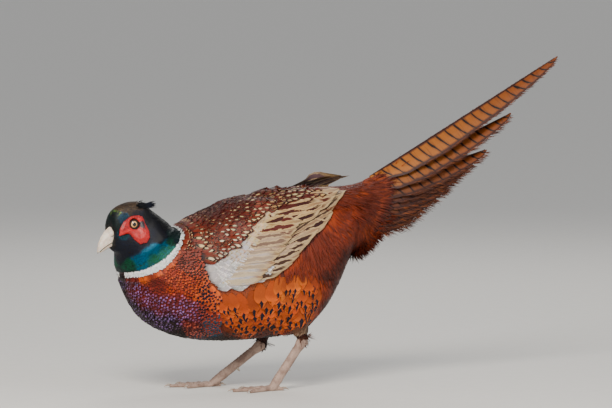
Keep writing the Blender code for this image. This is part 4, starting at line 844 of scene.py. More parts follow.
# For breast and belly feathers the fringe column gives the colour of a painted highlight speck; for flank feathers it
# is their own pale edge.
bodyPaint = [
    (168, 258, 6, "collarOrange", "barBlack", "flankPale", 0.76, 0.05), (158, 268, 6, "collarOrange", "barBlack", "flankPale", 0.78, 0.05),
    (146, 275, 5, "collarOrange", "maroonBlack", "copper", 0.78, 0.1), (176, 247, 6, "collarOrange", "barBlack", "copper", 0.74, 0.05),
    (184, 240, 6, "chestnut", "barBlack", "cream", 0.74, 0.05), (188, 258, 7, "chestnut", "barBlack", "copper", 0.76, 0.1),
    (136, 279, 5, "maroon", "maroonBlack", "steelSheen", 0.84, 0.3), (124, 280, 5, "maroonBlack", "barBlack", "lilacSheen", 0.84, 0.2),
    (137, 289, 6, "maroon", "maroonBlack", "lilacSheen", 0.84, 0.3), (148, 298, 6, "maroon", "maroonBlack", "lilacSheen", 0.84, 0.3),
    (163, 303, 7, "maroon", "maroonBlack", "lilacSheen", 0.84, 0.3), (180, 305, 7, "maroon", "spotBlue", "lilacSheen", 0.84, 0.25),
    (196, 311, 6, "maroon", "spotBlue", "lilacSheen", 0.80, 0.25), (160, 283, 8, "maroon", "maroonBlack", "copper", 0.84, 0.2),
    (176, 280, 9, "copper", "maroonBlack", "collarOrange", 0.82, 0.2), (190, 285, 8, "copper", "maroonBlack", "collarOrange", 0.80, 0.2),
    (198, 270, 7, "copper", "barBlack", "collarOrange", 0.72, 0.1), (122, 296, 7, "maroonBlack", "barBlack", "maroon", 0.8, 0.2),
    (133, 309, 8, "maroonBlack", "barBlack", "lilacSheen", 0.85, 0.2), (150, 318, 9, "maroonBlack", "barBlack", "lilacSheen", 0.85, 0.2),
    (170, 322, 9, "maroonBlack", "spotBlue", "lilacSheen", 0.84, 0.2), (145, 330, 9, "bellyBlack", "barBlack", "maroon", 0.6, 0.15),
    (175, 333, 8, "bellyBlack", "barBlack", "maroon", 0.6, 0.15), (192, 326, 6, "maroon", "spotBlue", "pink", 0.80, 0.2),
    (199, 333, 6, "maroonBlack", "spotTeal", "pink", 0.80, 0.25), (206, 292, 6, "collarOrange", "spotBlue", "copper", 0.64, 0.1),
    (207, 308, 6, "copper", "spotBlue", "pink", 0.68, 0.15), (216, 280, 8, "flankOrange", "spotBlue", "pink", 0.70, 0.05),
    (218, 300, 7, "flankOrange", "spotBlue", "pink", 0.72, 0.05), (218, 322, 7, "copper", "spotTeal", "pink", 0.70, 0.2),
    (237, 296, 9, "flankOrange", "spotBlue", "flankPale", 0.83, 0.0), (240, 318, 10, "flankOrange", "spotBlue", "flankPale", 0.83, 0.0),
    (262, 318, 10, "flankOrange", "spotBlue", "flankPale", 0.83, 0.0), (256, 302, 8, "flankPale", "spotBlue", "flankPale", 0.83, 0.0),
    (270, 281, 5, "flankPale", "flankOrange", "flankPale", 0.84, 0.0), (285, 318, 10, "flankOrange", "spotBlue", "flankPale", 0.83, 0.0),
    (288, 300, 8, "flankPale", "spotBlue", "flankPale", 0.83, 0.0), (298, 281, 5, "flankPale", "flankOrange", "flankPale", 0.84, 0.0),
    (308, 304, 9, "flankOrange", "spotBlue", "flankPale", 0.83, 0.0), (292, 268, 8, "flankRust", "ventRust", "flankRust", 0.6, 0.0),
    (318, 244, 8, "ventRust", "ventRust", "flankRust", 0.6, 0.0), (334, 224, 8, "flankRust", "ventRust", "flankRust", 0.6, 0.0),
    (320, 284, 7, "flankRust", "ventRust", "flankOrange", 0.7, 0.0), (334, 276, 8, "ventRust", "ventDark", "chestnut", 0.6, 0.0),
    (320, 312, 8, "flankRust", "spotBlue", "flankOrange", 0.8, 0.0), (330, 300, 7, "ventRust", "ventDark", "ventRust", 0.6, 0.0),
    # The row at px 345, py 262 is partly the vent's own dark colour and partly painted shadow under the rump.
    (345, 262, 8, "ventRust", "ventDark", "ventRust", 0.6, 0.0), (342, 292, 7, "ventRust", "ventDark", "ventRust", 0.6, 0.0),
    (230, 340, 8, "ventDark", "bellyBlack", "ventRust", 0.5, 0.0), (265, 340, 8, "ventDark", "bellyBlack", "ventRust", 0.5, 0.0),
    (295, 342, 8, "thighBrown", "ventDark", "thighPale", 0.5, 0.0), (325, 330, 8, "ventDark", "ventRust", "ventRust", 0.5, 0.0),
    (200, 346, 8, "bellyBlack", "bellyBlack", "ventRust", 0.5, 0.1),
]


def paintAt(points, table):  # the markings of the nearest rows, mixed by distance
    px, py = markingPlace(points)
    px = px + 2.2 * rippleNoise(points, 0.016, 5)
    py = py + 2.2 * rippleNoise(points, 0.016, 6)
    weights = np.stack([np.exp(-((px - row[0]) ** 2 + (py - row[1]) ** 2) / row[2] ** 2 * 1.4)
                        + 1e-5 / (1 + (px - row[0]) ** 2 + (py - row[1]) ** 2) for row in table], axis=1)
    weights = weights ** 1.3
    weights /= weights.sum(axis=1)[:, None]
    marks = {key: weights @ np.array([colour[row[place]] for row in table])
             for key, place in (("ground", 3), ("mark", 4), ("fringe", 5))}
    marks["reach"] = weights @ np.array([row[6] for row in table])
    marks["gloss"] = weights @ np.array([row[7] for row in table])
    return marks


def varied(marks, rng, amount=0.16):  # no two feathers have quite the same colour
    count = len(marks["reach"])
    light = rng.normal(1, amount, count).clip(0.5, 1.6)[:, None]
    for key in ("ground", "mark", "fringe"):
        marks[key] = np.clip(marks[key] * light * rng.normal(1, amount * 0.35, (count, 3)), 0, 1)
    marks["reach"] = marks["reach"] + rng.normal(0, 0.02, count)
    marks["chance"] = rng.uniform(0, 40, count)
    marks.setdefault("size", np.ones(count))
    return marks


bodyPlans = {
    "head": {"rows": 4, "columns": 3, "profile": "round", "bow": 0.15, "length": 4.6, "half": 1.05, "ruffle": 0.12,
             "low": 0.05, "high": 1.0, "camber": 0.10, "thick": 0.12},
    "neck": {"rows": 5, "columns": 4, "profile": "round", "bow": 0.2, "length": 7.0, "half": 1.6, "ruffle": 0.08,
             "low": 0.1, "high": 1.7, "camber": 0.12, "thick": 0.16},
    "ring": {"rows": 5, "columns": 3, "profile": "round", "bow": 0.25, "length": 3.6, "half": 1.2, "ruffle": 0.05,
             "low": 0.9, "high": 2.0, "camber": 0.10, "thick": 0.16},
    "breast": {"rows": 7, "columns": 5, "profile": "round", "bow": 0.25, "length": 11.5, "half": 3.1, "ruffle": 0.06,
               "low": 0.15, "high": 2.8, "camber": 0.3, "thick": 0.22},
    "flank": {"rows": 9, "columns": 5, "profile": "round", "bow": 0.22, "length": 36.0, "half": 9.4, "ruffle": 0.05,
              "low": 0.2, "high": 2.9, "camber": 0.4, "thick": 0.28},
    "belly": {"rows": 6, "columns": 4, "profile": "round", "bow": 0.1, "length": 12.5, "half": 2.9, "ruffle": 0.12,
              "low": 0.1, "high": 2.8, "camber": 0.2, "thick": 0.22},
    "vent": {"rows": 6, "columns": 3, "profile": "hair", "bow": 0.0, "length": 19.0, "half": 1.35, "ruffle": 0.14,
             "low": 0.1, "high": 3.0, "camber": 0.2, "thick": 0.22},
    "rump": {"rows": 6, "columns": 3, "profile": "hair", "bow": 0.0, "length": 31.0, "half": 0.85, "ruffle": 0.10,
             "low": 0.2, "high": 3.4, "camber": 0.3, "thick": 0.25, "free": 3.0},
    "thigh": {"rows": 6, "columns": 3, "profile": "hair", "bow": 0.0, "length": 15.5, "half": 1.0, "ruffle": 0.07,
              "low": 0.1, "high": 1.6, "camber": 0.15, "thick": 0.2, "free": 1.4},
}


def bareFace(points):  # where the wattle, the eye and the bill leave no room for feathers
    head = toHead(points / mm)
    forward, side, up = head[:, 0], np.abs(head[:, 1]), head[:, 2]
    angle = np.degrees(np.arctan2(up, forward)) % 360
    outline = np.array(wattlePlan["outline"], float)
    reach = np.interp(angle, outline[:, 0] % 360, outline[:, 1], period=360)
    return ((np.hypot(forward, up) < reach - 0.6) & (side > 6)) | ((forward > 17.0) & (up < 4.0) & (up > -16.0) & (side < 7.2))


wattlePlan = {"outline": [(-15, 23.5), (15, 17), (50, 11), (90, 9.6), (130, 10.6), (165, 14.5), (200, 13.5), (232, 19),
                          (258, 25), (282, 24), (305, 15), (328, 13.5)]}


def growBody(kind, seed):  # all feathers of one sort on the skin
    rng = np.random.default_rng(seed)
    mine = rootKinds == kind
    if kind in ("head", "neck"):
        mine &= ~bareFace(rootPlaces) & ~bareFace(rootPlaces + rootLies * 3 * mm)
    if kind == "rump":
        mine &= (rootNormals[:, 0] < 0.7) | (rootPlaces[:, 0] < 0.07)
    roots, normals, lies = rootPlaces[mine], rootNormals[mine], rootLies[mine]
    plan = bodyPlans[kind]
    scale = np.ones(len(roots))
    if kind == "breast":
        scale = 0.8 + 0.2 * ease(4, 30, ringDistance(roots)[0])
    if kind == "flank":
        scale = flankScale(roots)
    top, soft = layVanes(skinSurface, roots, normals, lies, plan, rng, scale)
    tips = top[:, -2, plan["columns"] // 2]
    reached = {"flank": 0.92, "vent": 0.2}.get(kind, 0.65)
    marks = paintAt(roots * (1 - reached) + tips * reached, headPaint if kind in ("head", "neck") else bodyPaint)
    if kind == "breast":
        # On random breast feathers the painted highlight colour is toned back towards the ground colour.
        dull = rng.random(len(roots)) ** 1.4
        marks["fringe"] = blendRows(marks["fringe"], marks["ground"], dull)
    if kind == "flank":
        plain = (rng.random(len(roots)) < 0.12)
        marks["mark"] = blendRows(marks["mark"], marks["ground"], plain)
    if kind == "ring":
        gap = np.abs(roots[:, 1] / mm - ringPlan["gapY"]) < ringPlan["gapHalf"]
        gap &= roots[:, 2] / mm < 172
        for key in ("ground", "mark", "fringe"):
            marks[key] = np.where(gap[:, None], marks[key], colour["ringWhite"])
        marks["gloss"] = np.where(gap, marks["gloss"], 0)
    spots = unwrapPlaces(roots, normals)
    return {"mesh": vaneMesh(top, soft, plan["thick"], tipDense), "marks": varied(marks, rng), "spots": spots}


rumpPaint = [
    (325, 196, 7, "chestnut", "rumpRust", "cream", 0.5, 0), (345, 186, 8, "rumpGold", "rumpRust", "cream", 0.6, 0),
    (366, 184, 9, "rumpGold", "rumpRust", "cream", 0.6, 0), (385, 189, 8, "rumpGold", "rumpRust", "cream", 0.6, 0),
    (404, 188, 7, "rumpGold", "plum", "cream", 0.6, 0), (345, 203, 8, "rumpRust", "rumpGold", "cream", 0.6, 0),
    (366, 202, 8, "rumpRust", "rumpGold", "cream", 0.5, 0), (388, 206, 6, "rumpRust", "buff", "cream", 0.85, 0),
    (402, 204, 6, "rumpGold", "buff", "cream", 0.6, 0), (345, 226, 8, "flankRust", "rumpDark", "cream", 0.6, 0),
    (368, 222, 8, "rumpRust", "flankRust", "cream", 0.5, 0), (388, 222, 7, "rumpRust", "flankRust", "cream", 0.6, 0),
    (402, 220, 6, "rumpRust", "barBlack", "cream", 0.9, 0), (348, 243, 7, "ventRust", "ventDark", "cream", 0.5, 0),
    # The dark rows at px 348 to 350, low on the rump, are partly the vent's own dark colour and partly painted shadow
    # under the rump.
    (368, 240, 8, "rumpRust", "flankRust", "cream", 0.6, 0), (384, 238, 7, "rumpRust", "flankRust", "cream", 0.7, 0),
    (350, 262, 7, "bellyBlack", "ventDark", "cream", 0.5, 0), (370, 257, 7, "rumpDark", "rumpRust", "cream", 0.7, 0),
]
backPaint = [
    (178, 230, 6, "chestnut", "cream", "mantleDark", 0.66, 0.05), (190, 222, 8, "chestnut", "cream", "mantleDark", 0.66, 0.05),
    (200, 240, 9, "chestnut", "cream", "mantleDark", 0.66, 0.05), (205, 262, 7, "chestnut", "ivory", "mantleDark", 0.66, 0.0),
    (215, 215, 9, "wine", "buff", "wineDark", 0.66, 0.05), (225, 232, 9, "chestnut", "ivory", "mantleDark", 0.66, 0.0),
    (245, 205, 9, "wine", "cream", "wineDark", 0.66, 0.05), (260, 216, 9, "chestnut", "cream", "wineDark", 0.66, 0.0),
    (275, 196, 9, "wine", "buff", "wineDark", 0.66, 0.0), (295, 192, 9, "wine", "cream", "wineDark", 0.66, 0.0),
    (325, 186, 9, "wine", "buff", "rumpDark", 0.66, 0.0),
]
covertPaint = [
    (212, 262, 8, "silver", "edgeWhite", "silver", 0.86, 0), (215, 240, 8, "silverWarm", "silver", "silver", 0.8, 0),
    (228, 275, 9, "silver", "edgeWhite", "silver", 0.86, 0), (238, 245, 9, "silver", "silverWarm", "silver", 0.8, 0),
    (250, 228, 9, "silverWarm", "cream", "silver", 0.8, 0), (256, 262, 9, "silver", "edgeWhite", "silver", 0.8, 0),
    (272, 240, 9, "silverWarm", "cream", "silver", 0.8, 0), (215, 285, 8, "greyPurple", "silver", "silver", 0.7, 0),
]


def wingKind(points):
    x, y, z = points.T / mm
    kinds = np.full(len(points), "none", dtype="U8")
    covered = (x < 14) & (x > np.interp(z, [163, 203, 216], [-178, -195, -190])) & (z > 128)
    kinds[covered & insideOutline(wingOutline, x, z) & (z <= scapularLine(x)) & (x < lineX(z, (-84, 225), (-104, 136)))] = "covert"
    kinds[covered & (z > scapularLine(x) - 3) & (x < -30)] = "mantle"
    return kinds


def wingSpacing(points):
    kinds = wingKind(points)
    near = points[:, 2] / mm - scapularLine(points[:, 0] / mm)
    mantle = np.interp(near, [0, 14, 40], [7.8, 7.2, 5.6])
    mantle = mantle * np.interp(points[:, 0] / mm, [-190, -150], [0.72, 1.0])
    return np.where(kinds == "mantle", mantle, np.where(kinds == "covert", 5.2, 0.0)) * mm


wingPlans = {
    "mantle": {"rows": 8, "columns": 5, "profile": "round", "bow": 0.2, "length": 21.0, "half": 5.4, "ruffle": 0.08,
               "low": 0.2, "high": 3.4, "camber": 0.5, "thick": 0.3},
    "covert": {"rows": 8, "columns": 5, "profile": "round", "bow": 0.22, "length": 17.0, "half": 4.2, "ruffle": 0.05,
               "low": 0.2, "high": 1.7, "camber": 0.25, "thick": 0.22},
}
tierPlans = [  # count, first root and tip, last root and tip, width, height from root to tip, marks
    {"name": "primaries", "count": 5, "first": ((-62, 214), (20, 249)), "last": ((-66, 198), (2, 232)), "width": 14,
     "heights": (0.2, 1.2), "ground": ("greyPurple", "tan"), "mark": ("umber", "umber"), "reach": 0.97},
    {"name": "secondaries", "count": 8, "first": ((-78, 186), (-6, 221)), "last": ((-134, 143), (-74, 153)), "width": 19,
     "heights": (0.2, 1.6), "ground": ("tan", "silverWarm"), "mark": ("wineDark", "umber"), "reach": 0.9},
    {"name": "tertials", "count": 5, "first": ((-84, 234), (8, 245)), "last": ((-98, 204), (-22, 226)), "width": 23,
     "heights": (0.6, 3.4), "ground": ("buff", "buff"), "mark": ("wine", "wineDark"), "reach": 0.93},
    {"name": "greaterCoverts", "count": 8, "first": ((-104, 203), (-48, 211)), "last": ((-152, 141), (-103, 144)), "width": 19,
     "heights": (0.6, 3.2), "ground": ("buff", "silver"), "mark": ("wine", "silverWarm"), "reach": 0.9},
]
wingPlaces, wingNormals = scatter(trunkSurface, wingSpacing, 31, 8)
wingKinds = wingKind(wingPlaces)


def wingLie(points, normals):
    x, y, z = points.T / mm
    side = np.sign(y)
    rise = np.interp(x, [-190, -150, -60], [-0.05, 0.12, 0.3])
    rise = np.where(z > scapularLine(x), np.interp(x, [-190, -120, -60], [-0.1, 0.0, 0.14]), rise)
    lie = np.stack([np.ones(len(x)), side * 0.10, rise], axis=1)
    lie = lie - normals * (lie * normals).sum(axis=1)[:, None]
    return lie / np.linalg.norm(lie, axis=1)[:, None]


def straightened(top):  # feathers that a hollow in the surface folds are drawn straight across it
    steps = np.diff(top[:, :, top.shape[2] // 2], axis=1)
    steps /= np.linalg.norm(steps, axis=2)[..., None] + 1e-9
    folded = (steps[:, 1:] * steps[:, :-1]).sum(axis=2).min(axis=1) < 0.86
    for turn in range(6):
        eased = top[:, 1:-1] * 0.5 + (top[:, :-2] + top[:, 2:]) * 0.25
        top[:, 1:-1] = np.where(folded[:, None, None, None], eased, top[:, 1:-1])
    return top


def growWing(kind, sideSign, seed):
    rng = np.random.default_rng(seed)
    mine = (wingKinds == kind) & (np.sign(wingPlaces[:, 1]) == sideSign)
    roots, normals = wingPlaces[mine], wingNormals[mine]
    plan = wingPlans[kind]
    top, soft = layVanes(trunkSurface, roots, normals, wingLie(roots, normals), plan, rng)
    top = straightened(top)
    marks = paintAt(roots * 0.3 + top[:, -2, 2] * 0.7, backPaint if kind == "mantle" else covertPaint)
    if kind == "mantle":
        near = roots[:, 2] / mm - scapularLine(roots[:, 0] / mm)
        marks["size"] = np.interp(near, [0, 12, 34], [1.0, 1.3, 1.8]) * rng.uniform(0.8, 1.35, len(roots))
        plain = (rng.random(len(roots)) < 0.55) * ease(4, 16, near)
        marks["mark"] = blendRows(marks["mark"], marks["ground"], np.maximum(plain, rng.uniform(0, 0.35, len(roots))))
    return {"mesh": vaneMesh(top, soft, plan["thick"], tipDense), "marks": varied(marks, rng, 0.1),
            "spots": unwrapPlaces(roots, normals)}


farTip = {"raise": 14.0, "reach": 15.0, "lift": 1.6}  # how far the far wing's tip stands over the back and reaches behind


def castOnTrunk(places, side):  # from the side view onto the wing's surface
    hits = np.empty_like(places)
    cast = trunkSurface["tree"].ray_cast
    for k, place in enumerate(places.tolist()):
        ridge = cast(Vector((place[0], side * 0.012, 0.6)), Vector((0, 0, -1)))[0]
        height = min(place[2], ridge.z - 0.002) if ridge else place[2]
        hit = cast(Vector((place[0], side * 0.3, height)), Vector((0, -side, 0)))[0]
        hits[k] = hit or trunkSurface["tree"].find_nearest(Vector((place[0], side * 0.02, height)))[0]
    return hits, nearestOn(trunkSurface, hits)[1]


def layFlight(tier, sideName, rng):
    side, count, rows, columns = sides[sideName], tier["count"], 17, 9
    along, across, t, s = vaneGrid(rows, columns, "long", 0.06)
    share = np.linspace(0, 1, count)
    ends = [np.array([np.array(tier["first"][e]) * (1 - k) + np.array(tier["last"][e]) * k for k in share]) for e in (0, 1)]
    ends[1] = ends[1] + rng.normal(0, 1.2, ends[1].shape)
    ends[1][:, 0] += farTip["reach"] * (side > 0) * (1 - share)
    line = ends[0][:, None] + (ends[1] - ends[0])[:, None] * np.linspace(0, 1, rows)[None, :, None]
    sag = np.sin(np.linspace(0, np.pi, rows))[None, :] * 1.5
    raised = farTip["raise"] * ease(-60, 6, line[..., 0]) * ease(200, 238, line[..., 1]) * (side > 0) * mm
    flat = np.stack([line[..., 0], np.zeros_like(sag + line[..., 0]), line[..., 1] + sag], axis=-1) * mm
    shafts, normals = castOnTrunk(flat.reshape(-1, 3), side)
    shafts, normals = shafts.reshape(count, rows, 3), normals.reshape(count, rows, 3)
    for turn in range(9):
        normals[:, 1:-1] = normals[:, 1:-1] * 0.5 + (normals[:, :-2] + normals[:, 2:]) * 0.25
        shafts[:, 1:-1] = shafts[:, 1:-1] * 0.5 + (shafts[:, :-2] + shafts[:, 2:]) * 0.25
    shafts[..., 2] += raised
    lies = np.gradient(shafts, axis=1)
    lies /= np.linalg.norm(lies, axis=2)[..., None]
    sideways = np.cross(normals, lies)
    sideways /= np.linalg.norm(sideways, axis=2)[..., None]
    upward = np.sign(sideways[:, :1, 2])[..., None]
    reach = across[None] * tier["width"] / 2 * mm
    height = (tier["heights"][0] + (tier["heights"][1] - tier["heights"][0]) * t)[None] * mm
    height = height - 0.75 * mm * s[None] * upward - reach ** 2 / (2 * 0.085) + 0.5 * mm * (1 - s[None] ** 2)
    height = height + farTip["lift"] * mm * t[None] * (side > 0)
    slide = (along - t)[None] * 55 * mm
    top = shafts[:, :, None] + sideways[:, :, None] * reach[..., None] + normals[:, :, None] * height[..., None]
    top = top + lies[:, :, None] * slide[..., None]
    top[..., 1] = side * np.maximum(side * top[..., 1], 0.003)
    soft = np.broadcast_to(normals[:, :, None], top.shape)
    marks = {key: blendRows(colour[tier[key][0]][None], colour[tier[key][1]][None], share) for key in ("ground", "mark")}
    for key, shade in (("ground", "greyPurple"), ("mark", "plum")):
        marks[key] = blendRows(marks[key], colour[shade][None], 0.9 * (side > 0) * ease(0.75, 0.0, share))
    marks.update({"fringe": np.tile(colour["tan"], (count, 1)), "reach": np.full(count, tier["reach"]), "gloss": np.zeros(count)})
    return {"mesh": vaneMesh(top, soft, 0.35), "marks": varied(marks, rng, 0.07), "spots": None}


def makeWing(sideName):
    rng = np.random.default_rng(40 + int(sides[sideName]))
    flight = [layFlight(tier, sideName, rng) for tier in tierPlans]
    total = sum(part["mesh"]["count"] for part in flight)
    start = 0
    for part in flight:
        part["strips"] = (start / total, 1.0 / total)
        start += part["mesh"]["count"]
    pieceOfVanes("flight_feathers_" + sideName, materials["quill"], flight, ["wing_" + sideName])
    pieceOfVanes("wing_coverts_" + sideName, materials["covert"], [growWing("covert", sides[sideName], 51)])


for sideName in sides:
    makeWing(sideName)
mantleParts = [growWing("mantle", sign, 53) for sign in sides.values()]
pieceOfVanes("mantle_feathers", materials["mantle"], mantleParts)
pieceOfVanes("head_feathers", materials["small"], [growBody("head", 1)])
pieceOfVanes("neck_feathers", materials["gloss"], [growBody("neck", 2), growBody("ring", 3)])
pieceOfVanes("breast_feathers", materials["breast"], [growBody("breast", 4)])
pieceOfVanes("flank_feathers", materials["flank"], [growBody("flank", 5)])
pieceOfVanes("belly_feathers", materials["breast"], [growBody("belly", 6)])
pieceOfVanes("vent_feathers", materials["hair"], [growBody("vent", 7)])
pieceOfVanes("thigh_feathers", materials["hair"], [growBody("thigh", 8)])
pieceOfVanes("rump_feathers", materials["hair"], [growBody("rump", 9)])


# The tail: eighteen barred feathers folded like a roof, with frayed barbs along their edges.
tailPlan = {"tips": [(300.5, 409.3), (239, 338.5), (207, 293), (189, 276.5), (171.5, 262), (156, 248), (139, 234), (123, 221), (110, 210)],
            "root": (54.6, 262.2), "step": (-0.6, -7.0), "widths": (30, 30, 27, 24, 23, 22, 20, 18, 16),
            "tilt": (50.0, 3.8), "ridge": -0.35, "spread": 1.75, "rows": 46, "columns": 9, "thick": 0.5}


def freeStrands(roots, ways, normals, lengths, half, droop, rng, rows=5):
    along, across, t, s = vaneGrid(rows, 3, "hair", 0.0)
    sideways = np.cross(normals, ways)
    sideways /= np.linalg.norm(sideways, axis=1)[:, None]
    bend = rng.normal(0, droop, (len(roots), 1, 1)) * t ** 2
    step = along * lengths[:, None, None]
    top = roots[:, None, None] + ways[:, None, None] * step[..., None]
    top = top + sideways[:, None, None] * (across * half + bend * lengths[:, None, None])[..., None]
    top = top + normals[:, None, None] * ((1 - s ** 2) * half * 0.3 + rng.normal(0, 0.06, (len(roots), 1, 1)) * step)[..., None]
    return top, np.broadcast_to(normals[:, None, None], top.shape)


def makeTail():
    rng = np.random.default_rng(71)
    vanes, barbs = [], []
    rows, columns = tailPlan["rows"], tailPlan["columns"]
    t = np.linspace(0, 1, rows)[:, None]
    s = np.linspace(-1, 1, columns)[None, :]
    total = 2 * len(tailPlan["tips"])
    for side in (-1.0, 1.0):
        for i, tipPlace in enumerate(tailPlan["tips"]):
            firstX, firstZ = tailPlan["root"]
            root = np.array((firstX + tailPlan["step"][0] * i, 0, firstZ + tailPlan["step"][1] * i))
            tip = np.array((tipPlace[0], 0, tipPlace[1]))
            size = np.linalg.norm(tip - root)
            ahead = (tip - root) / size
            up = np.array((-ahead[2], 0, ahead[0]))
            tilt = math.radians(tailPlan["tilt"][0] + tailPlan["tilt"][1] * i)
            outward = np.array((0, side * math.cos(tilt), 0)) - up * math.sin(tilt)
            width = tailPlan["widths"][i] * np.interp(t, *profiles["tail"])
            ridge = tailPlan["ridge"] + tailPlan["spread"] * i * (1 - 0.35 * t)
            share = (s * side + 1) / 2
            bow = 0.05 * width * np.abs(2 * share - 1) ** 1.5 * (t > 0.9)
            line = root + (tip - root) * (t - bow / size)[..., None] + np.array((0, side, 0)) * ridge[..., None]
            lift = (1 - (2 * share - 1) ** 2) * 1.4 - 1.1 * np.sin(np.pi * t) * (i > 0) + rng.normal(0, 0.2)
            normal = np.cross(ahead, outward) * side
            top = (line + outward * (width * share)[..., None] + normal * lift[..., None]) * mm
            mesh = vaneMesh(top[None], np.broadcast_to(normal, top.shape)[None], tailPlan["thick"])
            shaded = float(ease(-1, 3, i)) * 0.95
            marks = {"ground": colour["tailGold"] + (colour["tailShade"] - colour["tailGold"]) * shaded, "mark": colour["barBlack"], "fringe": colour["tailBrown"],
                     "reach": -side, "gloss": 0.0, "size": size}
            marks = {key: np.array([value]) for key, value in marks.items()}
            place = (i + (0 if side < 0 else len(tailPlan["tips"]))) / total
            vanes.append({"mesh": mesh, "marks": varied(marks, rng, 0.05), "spots": None, "strips": (place, 1 / total)})
            for edge, spacing, reachOut in ((1.0, 0.75, (8.0, 12.0, 14.0)[min(i, 2)]), (0.0, 1.6, 3.0 if i == 0 else 0.0)):
                if reachOut == 0:
                    continue
                count = int(size / spacing)
                places = np.sort(rng.uniform(0.2 if edge else 0.3, 0.985, count))
                wide = np.interp(places, t[:, 0], width[:, 0])
                base = root + (tip - root) * places[:, None] + np.array((0, side, 0)) * np.interp(places, t[:, 0], ridge[:, 0])[:, None]
                base = base + outward * (wide * (edge * 0.94 + 0.03))[:, None] + normal * 0.3
                outer = (1 if edge else -1) * rng.uniform(0.2, 0.55, count)
                way = ahead + outward * outer[:, None]
                way /= np.linalg.norm(way, axis=1)[:, None]
                long = reachOut * mm * rng.uniform(0.5, 1.15, count) * np.interp(places, [0, 0.3, 0.8, 1], [0.7, 1, 0.9, 0.5])
                top, soft = freeStrands(base * mm, way, np.tile(normal, (count, 1)), long, 0.32 * mm, 0.10, rng, 4)
                tint = blendRows(colour["tailBrown"][None], colour["tailOchre"][None], rng.random(count) ** 2)
                marks = {"ground": tint, "mark": tint * 0.75, "fringe": tint, "reach": np.full(count, 0.6), "gloss": np.zeros(count)}
                spots = np.stack([place + 0.5 / total + 0 * places, places], axis=1)
                barbs.append({"mesh": vaneMesh(top, soft, 0.2), "marks": varied(marks, rng, 0.15), "spots": spots})
    pieceOfVanes("tail_feathers", materials["tail"], vanes, ["tail"])
    pieceOfVanes("tail_barbs", materials["hair"], barbs)


makeTail()


# Bare parts: bill, wattles, eyes, lids, shanks and feet.
def smoothCopy(name, nodeNames, voxel, smooth, shrink=0.0):
    piece = joinPieces([copyOfNode(node, node + "Copy") for node in nodeNames], name)
    applyModifier(piece, "REMESH", mode="VOXEL", voxel_size=voxel * mm)
    applyModifier(piece, "SMOOTH", factor=0.5, iterations=smooth)
    if shrink:
        writePoints(piece, readPoints(piece) - readNormals(piece) * shrink * mm)
    activate(piece)
    bpy.ops.object.shade_smooth()
    return piece


def objectPlace(tree):
    return addNode(tree, "ShaderNodeTexCoord").outputs["Object"]


def makeHornMaterial():
    settings = {"Roughness": 0.38, "Specular IOR Level": 0.45, "Subsurface Weight": 0.15, "Subsurface Scale": 0.002}
    material, tree, shader = plainMaterial("horn", **settings)
    place = objectPlace(tree)
    cloud = noiseOf(tree, place, 160.0, 4.0)
    fine = noiseOf(tree, place, 1100.0, 3.0)
    tint = mixColours(tree, rampUp(tree, cloud, 0.35, 0.7), tuple(linear((226, 210, 194))), tuple(linear((202, 180, 160))))
    dark = mixColours(tree, readAttribute(tree, "shade", "Fac"), tint, tuple(linear((92, 74, 62))))
    tree.links.new(dark, shader.inputs["Base Color"])
    relief = addNode(tree, "ShaderNodeBump", {"Height": fine, "Strength": 0.15, "Distance": 0.0003})
    tree.links.new(relief.outputs[0], shader.inputs["Normal"])
    return material


def makeWattleMaterial():
    settings = {"Roughness": 0.42, "Subsurface Weight": 0.25, "Subsurface Scale": 0.0015, "Specular IOR Level": 0.5}
    material, tree, shader = plainMaterial("redSkin", **settings)
    place = objectPlace(tree)
    cloud = noiseOf(tree, place, 240.0, 3.0)
    crest = readAttribute(tree, "shade", "Fac")
    # The crest value paints the hollows between the warts dark red and their crests bright red: painted shade and
    # light.
    red = mixColours(tree, rampUp(tree, crest, 0.1, 0.9), tuple(linear((112, 4, 8))), tuple(linear((222, 20, 18))))
    spread = mixColours(tree, calc(tree, "MULTIPLY", rampUp(tree, cloud, 0.5, 0.8), 0.2), red, tuple(linear((232, 60, 44))))
    dark = mixColours(tree, readAttribute(tree, "patch", "Fac"), spread, tuple(linear((14, 14, 24))))
    tree.links.new(dark, shader.inputs["Base Color"])
    fine = noiseOf(tree, place, 2200.0, 2.0)
    relief = addNode(tree, "ShaderNodeBump", {"Height": fine, "Strength": 0.3, "Distance": 0.0002})
    tree.links.new(relief.outputs[0], shader.inputs["Normal"])
    return material


def makeEyeMaterial():
    settings = {"Roughness": 0.12, "Coat Weight": 0.5, "Coat Roughness": 0.02, "Specular IOR Level": 0.4}
    material, tree, shader = plainMaterial("eye", **settings)
    turn = readAttribute(tree, "turn", "Fac")
    around = readAttribute(tree, "around", "Fac")
    spot = addNode(tree, "ShaderNodeCombineXYZ", {0: calc(tree, "MULTIPLY", around, 9.0), 1: calc(tree, "MULTIPLY", turn, 2.0)})
    rays = noiseOf(tree, spot.outputs[0], 1.6, 4.0)
    iris = mixColours(tree, rampUp(tree, rays, 0.3, 0.75), tuple(linear((246, 214, 150))), tuple(linear((214, 150, 76))))
    rim = mixColours(tree, rampUp(tree, turn, 0.52, 0.68), iris, tuple(linear((104, 56, 30))))
    inner = mixColours(tree, rampUp(tree, turn, 0.46, 0.38), rim, tuple(linear((190, 120, 56))))
    white = mixColours(tree, rampUp(tree, turn, 0.72, 0.78), inner, tuple(linear((40, 18, 16))))
    pupil = mixColours(tree, rampUp(tree, turn, 0.385, 0.36), white, (0.002, 0.002, 0.003))
    tree.links.new(pupil, shader.inputs["Base Color"])
    return material


